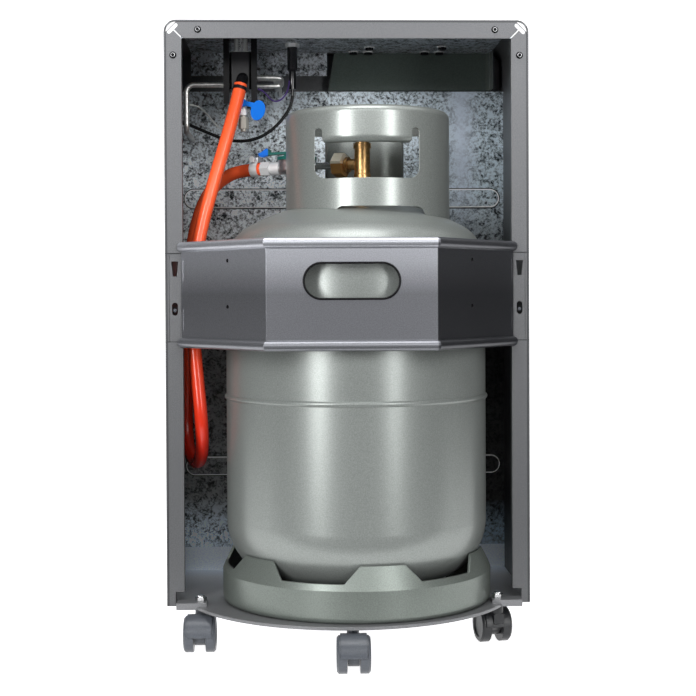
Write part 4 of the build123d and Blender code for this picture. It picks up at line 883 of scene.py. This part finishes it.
# ---- wire guard: round bowed uprights repeated along the guard -----------------------------------
GUARD_BACK = 233.2
GUARD_FRONT = 259.2
GUARD_LOW = 285
GUARD_HIGH = 625
GUARD_HALF = 172
GUARD_COUNT = 15
GUARD_BEND = 10
GUARD_WIRE_RADIUS = 0.0016
ROUND_PULL = 0.55

upright = bpy.data.curves.new("guard_upright", "CURVE")
upright.dimensions = "3D"
upright.bevel_depth = GUARD_WIRE_RADIUS
upright.bevel_resolution = 3
run = upright.splines.new("BEZIER")
bend_pull = GUARD_BEND * ROUND_PULL
stations = [
    ((GUARD_BACK, GUARD_LOW), None),
    ((GUARD_FRONT - GUARD_BEND, GUARD_LOW), (bend_pull, 0)),
    ((GUARD_FRONT, GUARD_LOW + GUARD_BEND), (0, bend_pull)),
    ((GUARD_FRONT, GUARD_HIGH - GUARD_BEND), (0, bend_pull)),
    ((GUARD_FRONT - GUARD_BEND, GUARD_HIGH), (-bend_pull, 0)),
    ((GUARD_BACK, GUARD_HIGH), None),
]
run.bezier_points.add(len(stations) - 1)
for knot, ((depth, z), pull) in zip(run.bezier_points, stations):
    knot.co = place(-GUARD_HALF, depth, z)
    if pull is None:
        knot.handle_left_type = "VECTOR"
        knot.handle_right_type = "VECTOR"
    else:
        arm = Vector((0, pull[0] / 1000, pull[1] / 1000))
        knot.handle_left_type = "FREE"
        knot.handle_right_type = "FREE"
        knot.handle_left = knot.co - arm
        knot.handle_right = knot.co + arm
upright_source = bpy.data.objects.new("guard_upright_source", upright)
bpy.context.scene.collection.objects.link(upright_source)


def repeated(name, source, count, step, material):
    """A row of copies of a source object, made by geometry nodes and kept as one plain mesh."""
    group = bpy.data.node_groups.new(name, "GeometryNodeTree")
    group.interface.new_socket("Geometry", in_out="OUTPUT", socket_type="NodeSocketGeometry")
    source_socket = group.interface.new_socket(
        "Source", in_out="INPUT", socket_type="NodeSocketObject"
    )
    count_socket = group.interface.new_socket("Count", in_out="INPUT", socket_type="NodeSocketInt")
    step_socket = group.interface.new_socket("Step", in_out="INPUT", socket_type="NodeSocketVector")
    nodes = group.nodes
    links = group.links
    entry = nodes.new("NodeGroupInput")
    leave = nodes.new("NodeGroupOutput")
    line = nodes.new("GeometryNodeMeshLine")
    info = nodes.new("GeometryNodeObjectInfo")
    copies = nodes.new("GeometryNodeInstanceOnPoints")
    real = nodes.new("GeometryNodeRealizeInstances")
    paint = nodes.new("GeometryNodeSetMaterial")
    paint.inputs["Material"].default_value = material
    links.new(entry.outputs["Count"], line.inputs["Count"])
    links.new(entry.outputs["Step"], line.inputs["Offset"])
    links.new(entry.outputs["Source"], info.inputs["Object"])
    links.new(line.outputs["Mesh"], copies.inputs["Points"])
    links.new(info.outputs["Geometry"], copies.inputs["Instance"])
    links.new(copies.outputs["Instances"], real.inputs["Geometry"])
    links.new(real.outputs["Geometry"], paint.inputs["Geometry"])
    links.new(paint.outputs["Geometry"], leave.inputs["Geometry"])
    carrier = bpy.data.objects.new(name, bpy.data.meshes.new(name))
    bpy.context.scene.collection.objects.link(carrier)
    modifier = carrier.modifiers.new("row", "NODES")
    modifier.node_group = group
    modifier[source_socket.identifier] = source
    modifier[count_socket.identifier] = count
    modifier[step_socket.identifier] = step
    bpy.context.view_layer.update()
    graph = bpy.context.evaluated_depsgraph_get()
    plain = bpy.data.meshes.new_from_object(carrier.evaluated_get(graph))
    carrier.modifiers.clear()
    carrier.data = plain
    plain.shade_smooth()
    return carrier


guard_pitch = 2 * GUARD_HALF / (GUARD_COUNT - 1) / 1000
guard = repeated(
    "guard_uprights_round", upright_source, GUARD_COUNT, (guard_pitch, 0, 0), bright
)
bpy.data.objects.remove(upright_source)
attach(guard, "root")
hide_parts("guard_uprights")


# ---- stage: a pale sweep, bright behind the object, in a dim room --------------------------------
def backdrop_strength(tree, seen, given):
    """One strength for what camera, glossy and transmission rays see, one for the light given."""
    path = tree.nodes.new("ShaderNodeLightPath")
    shown = maths(
        tree, "MAXIMUM", path.outputs["Is Glossy Ray"], path.outputs["Is Transmission Ray"]
    )
    shown = maths(tree, "MAXIMUM", path.outputs["Is Camera Ray"], shown)
    return maths(tree, "MULTIPLY_ADD", shown, seen - given, given)


SWEEP_HALF = 7
SWEEP_FRONT = -7
SWEEP_BACK = 3.2
SWEEP_BEND = 1.2
SWEEP_BEND_STEPS = 12
SWEEP_TOP = 7
sweep_line = [(SWEEP_FRONT, 0)]
for step in range(SWEEP_BEND_STEPS + 1):
    angle = math.radians(90 * step / SWEEP_BEND_STEPS)
    bend_y = SWEEP_BACK - SWEEP_BEND + SWEEP_BEND * math.sin(angle)
    bend_z = SWEEP_BEND - SWEEP_BEND * math.cos(angle)
    sweep_line.append((bend_y, bend_z))
sweep_line.append((SWEEP_BACK, SWEEP_TOP))
sweep_points = [(side * SWEEP_HALF, y, z) for y, z in sweep_line for side in (-1, 1)]
sweep_faces = [(2 * i, 2 * i + 1, 2 * i + 3, 2 * i + 2) for i in range(len(sweep_line) - 1)]
sweep_mesh = bpy.data.meshes.new("sweep")
sweep_mesh.from_pydata(sweep_points, [], sweep_faces)
sweep_mesh.shade_smooth()
sweep_material, sweep_tree, sweep_shader = surface("sweep", (0.9, 0.9, 0.9), 0.9)
sweep_shader.inputs["Emission Color"].default_value = (1, 1, 1, 1)
sweep_strength = backdrop_strength(sweep_tree, seen=0.92, given=0.12)
sweep_tree.links.new(sweep_strength, sweep_shader.inputs["Emission Strength"])
sweep_mesh.materials.append(sweep_material)
sweep = bpy.data.objects.new("sweep", sweep_mesh)
bpy.context.scene.collection.objects.link(sweep)

world = bpy.data.worlds.new("studio")
world.use_nodes = True
room = world.node_tree.nodes["Background"]
room.inputs["Color"].default_value = (1, 1, 1, 1)
room_strength = backdrop_strength(world.node_tree, seen=1.0, given=0.09)
world.node_tree.links.new(room_strength, room.inputs["Strength"])
bpy.context.scene.world = world


def softbox(name, at, aim, width, height, power):
    """Rectangular area light aimed at a point."""
    light = bpy.data.lights.new(name, "AREA")
    light.shape = "RECTANGLE"
    light.size = width
    light.size_y = height
    light.energy = power
    lamp = bpy.data.objects.new(name, light)
    lamp.location = at
    lamp.rotation_euler = (Vector(aim) - Vector(at)).to_track_quat("-Z", "Y").to_euler()
    bpy.context.scene.collection.objects.link(lamp)


softbox("key_left", (-1.25, -1.95, 0.8), (0, 0, 0.4), width=0.5, height=1.7, power=40)
softbox("key_right", (1.15, -2.0, 0.8), (0, 0, 0.4), width=0.45, height=1.7, power=23)
softbox("front", (0, -2.9, 1.3), (0, 0, 0.5), width=3.4, height=2.2, power=52)
softbox("top", (0, -0.55, 1.9), (0, -0.1, 0.4), width=1.0, height=0.7, power=15)


CARD_X = 1.7
CARD_DEPTH = 1.4
CARD_TOP = 2.0
WIDE_HALF = 3.4
WIDE_TOP = 4.0
WIDE_NEAR = -0.32
WIDE_FAR = -3.0
FLOOR_LIFT = 0.002


def card(name, corners, level):
    """Plain card that shades the object and that the camera doesn't see."""
    sheet = bpy.data.meshes.new(name)
    sheet.from_pydata(corners, [], [(0, 1, 2, 3)])
    sheet.materials.append(surface(name, grey(level), 0.9)[0])
    holder = bpy.data.objects.new(name, sheet)
    holder.visible_camera = False
    bpy.context.scene.collection.objects.link(holder)


def side_card(name, x, level):
    """Upright card to one side of the object."""
    card(
        name,
        [
            (x, -CARD_DEPTH, 0),
            (x, CARD_DEPTH, 0),
            (x, CARD_DEPTH, CARD_TOP),
            (x, -CARD_DEPTH, CARD_TOP),
        ],
        level,
    )


side_card("card_left", -CARD_X, level=0.08)
side_card("card_right", CARD_X, level=0.02)
card(
    "card_floor",
    [
        (-WIDE_HALF, WIDE_FAR, FLOOR_LIFT),
        (WIDE_HALF, WIDE_FAR, FLOOR_LIFT),
        (WIDE_HALF, WIDE_NEAR, FLOOR_LIFT),
        (-WIDE_HALF, WIDE_NEAR, FLOOR_LIFT),
    ],
    level=0.05,
)
card(
    "card_front",
    [
        (-WIDE_HALF, WIDE_FAR, 0),
        (WIDE_HALF, WIDE_FAR, 0),
        (WIDE_HALF, WIDE_FAR, WIDE_TOP),
        (-WIDE_HALF, WIDE_FAR, WIDE_TOP),
    ],
    level=0.05,
)

# ---- camera --------------------------------------------------------------------------------------
CAMERA_LENS = 74.2
CAMERA_SHIFT = -0.0474
CAMERA_PLACE = place(-54.0, -1629.1, 398.2)
CAMERA_TILT = -0.8
CAMERA_ROLL = 0.27
CAMERA_TURN = -1.9
camera = bpy.data.cameras.new("camera")
camera.sensor_width = 36
camera.lens = CAMERA_LENS
camera.shift_y = CAMERA_SHIFT
viewer = bpy.data.objects.new("camera", camera)
viewer.location = CAMERA_PLACE
viewer.rotation_euler = [
    math.radians(turn) for turn in (90 + CAMERA_TILT, CAMERA_ROLL, CAMERA_TURN)
]
bpy.context.scene.collection.objects.link(viewer)
bpy.context.scene.camera = viewer
bpy.context.scene.view_settings.view_transform = "Standard"
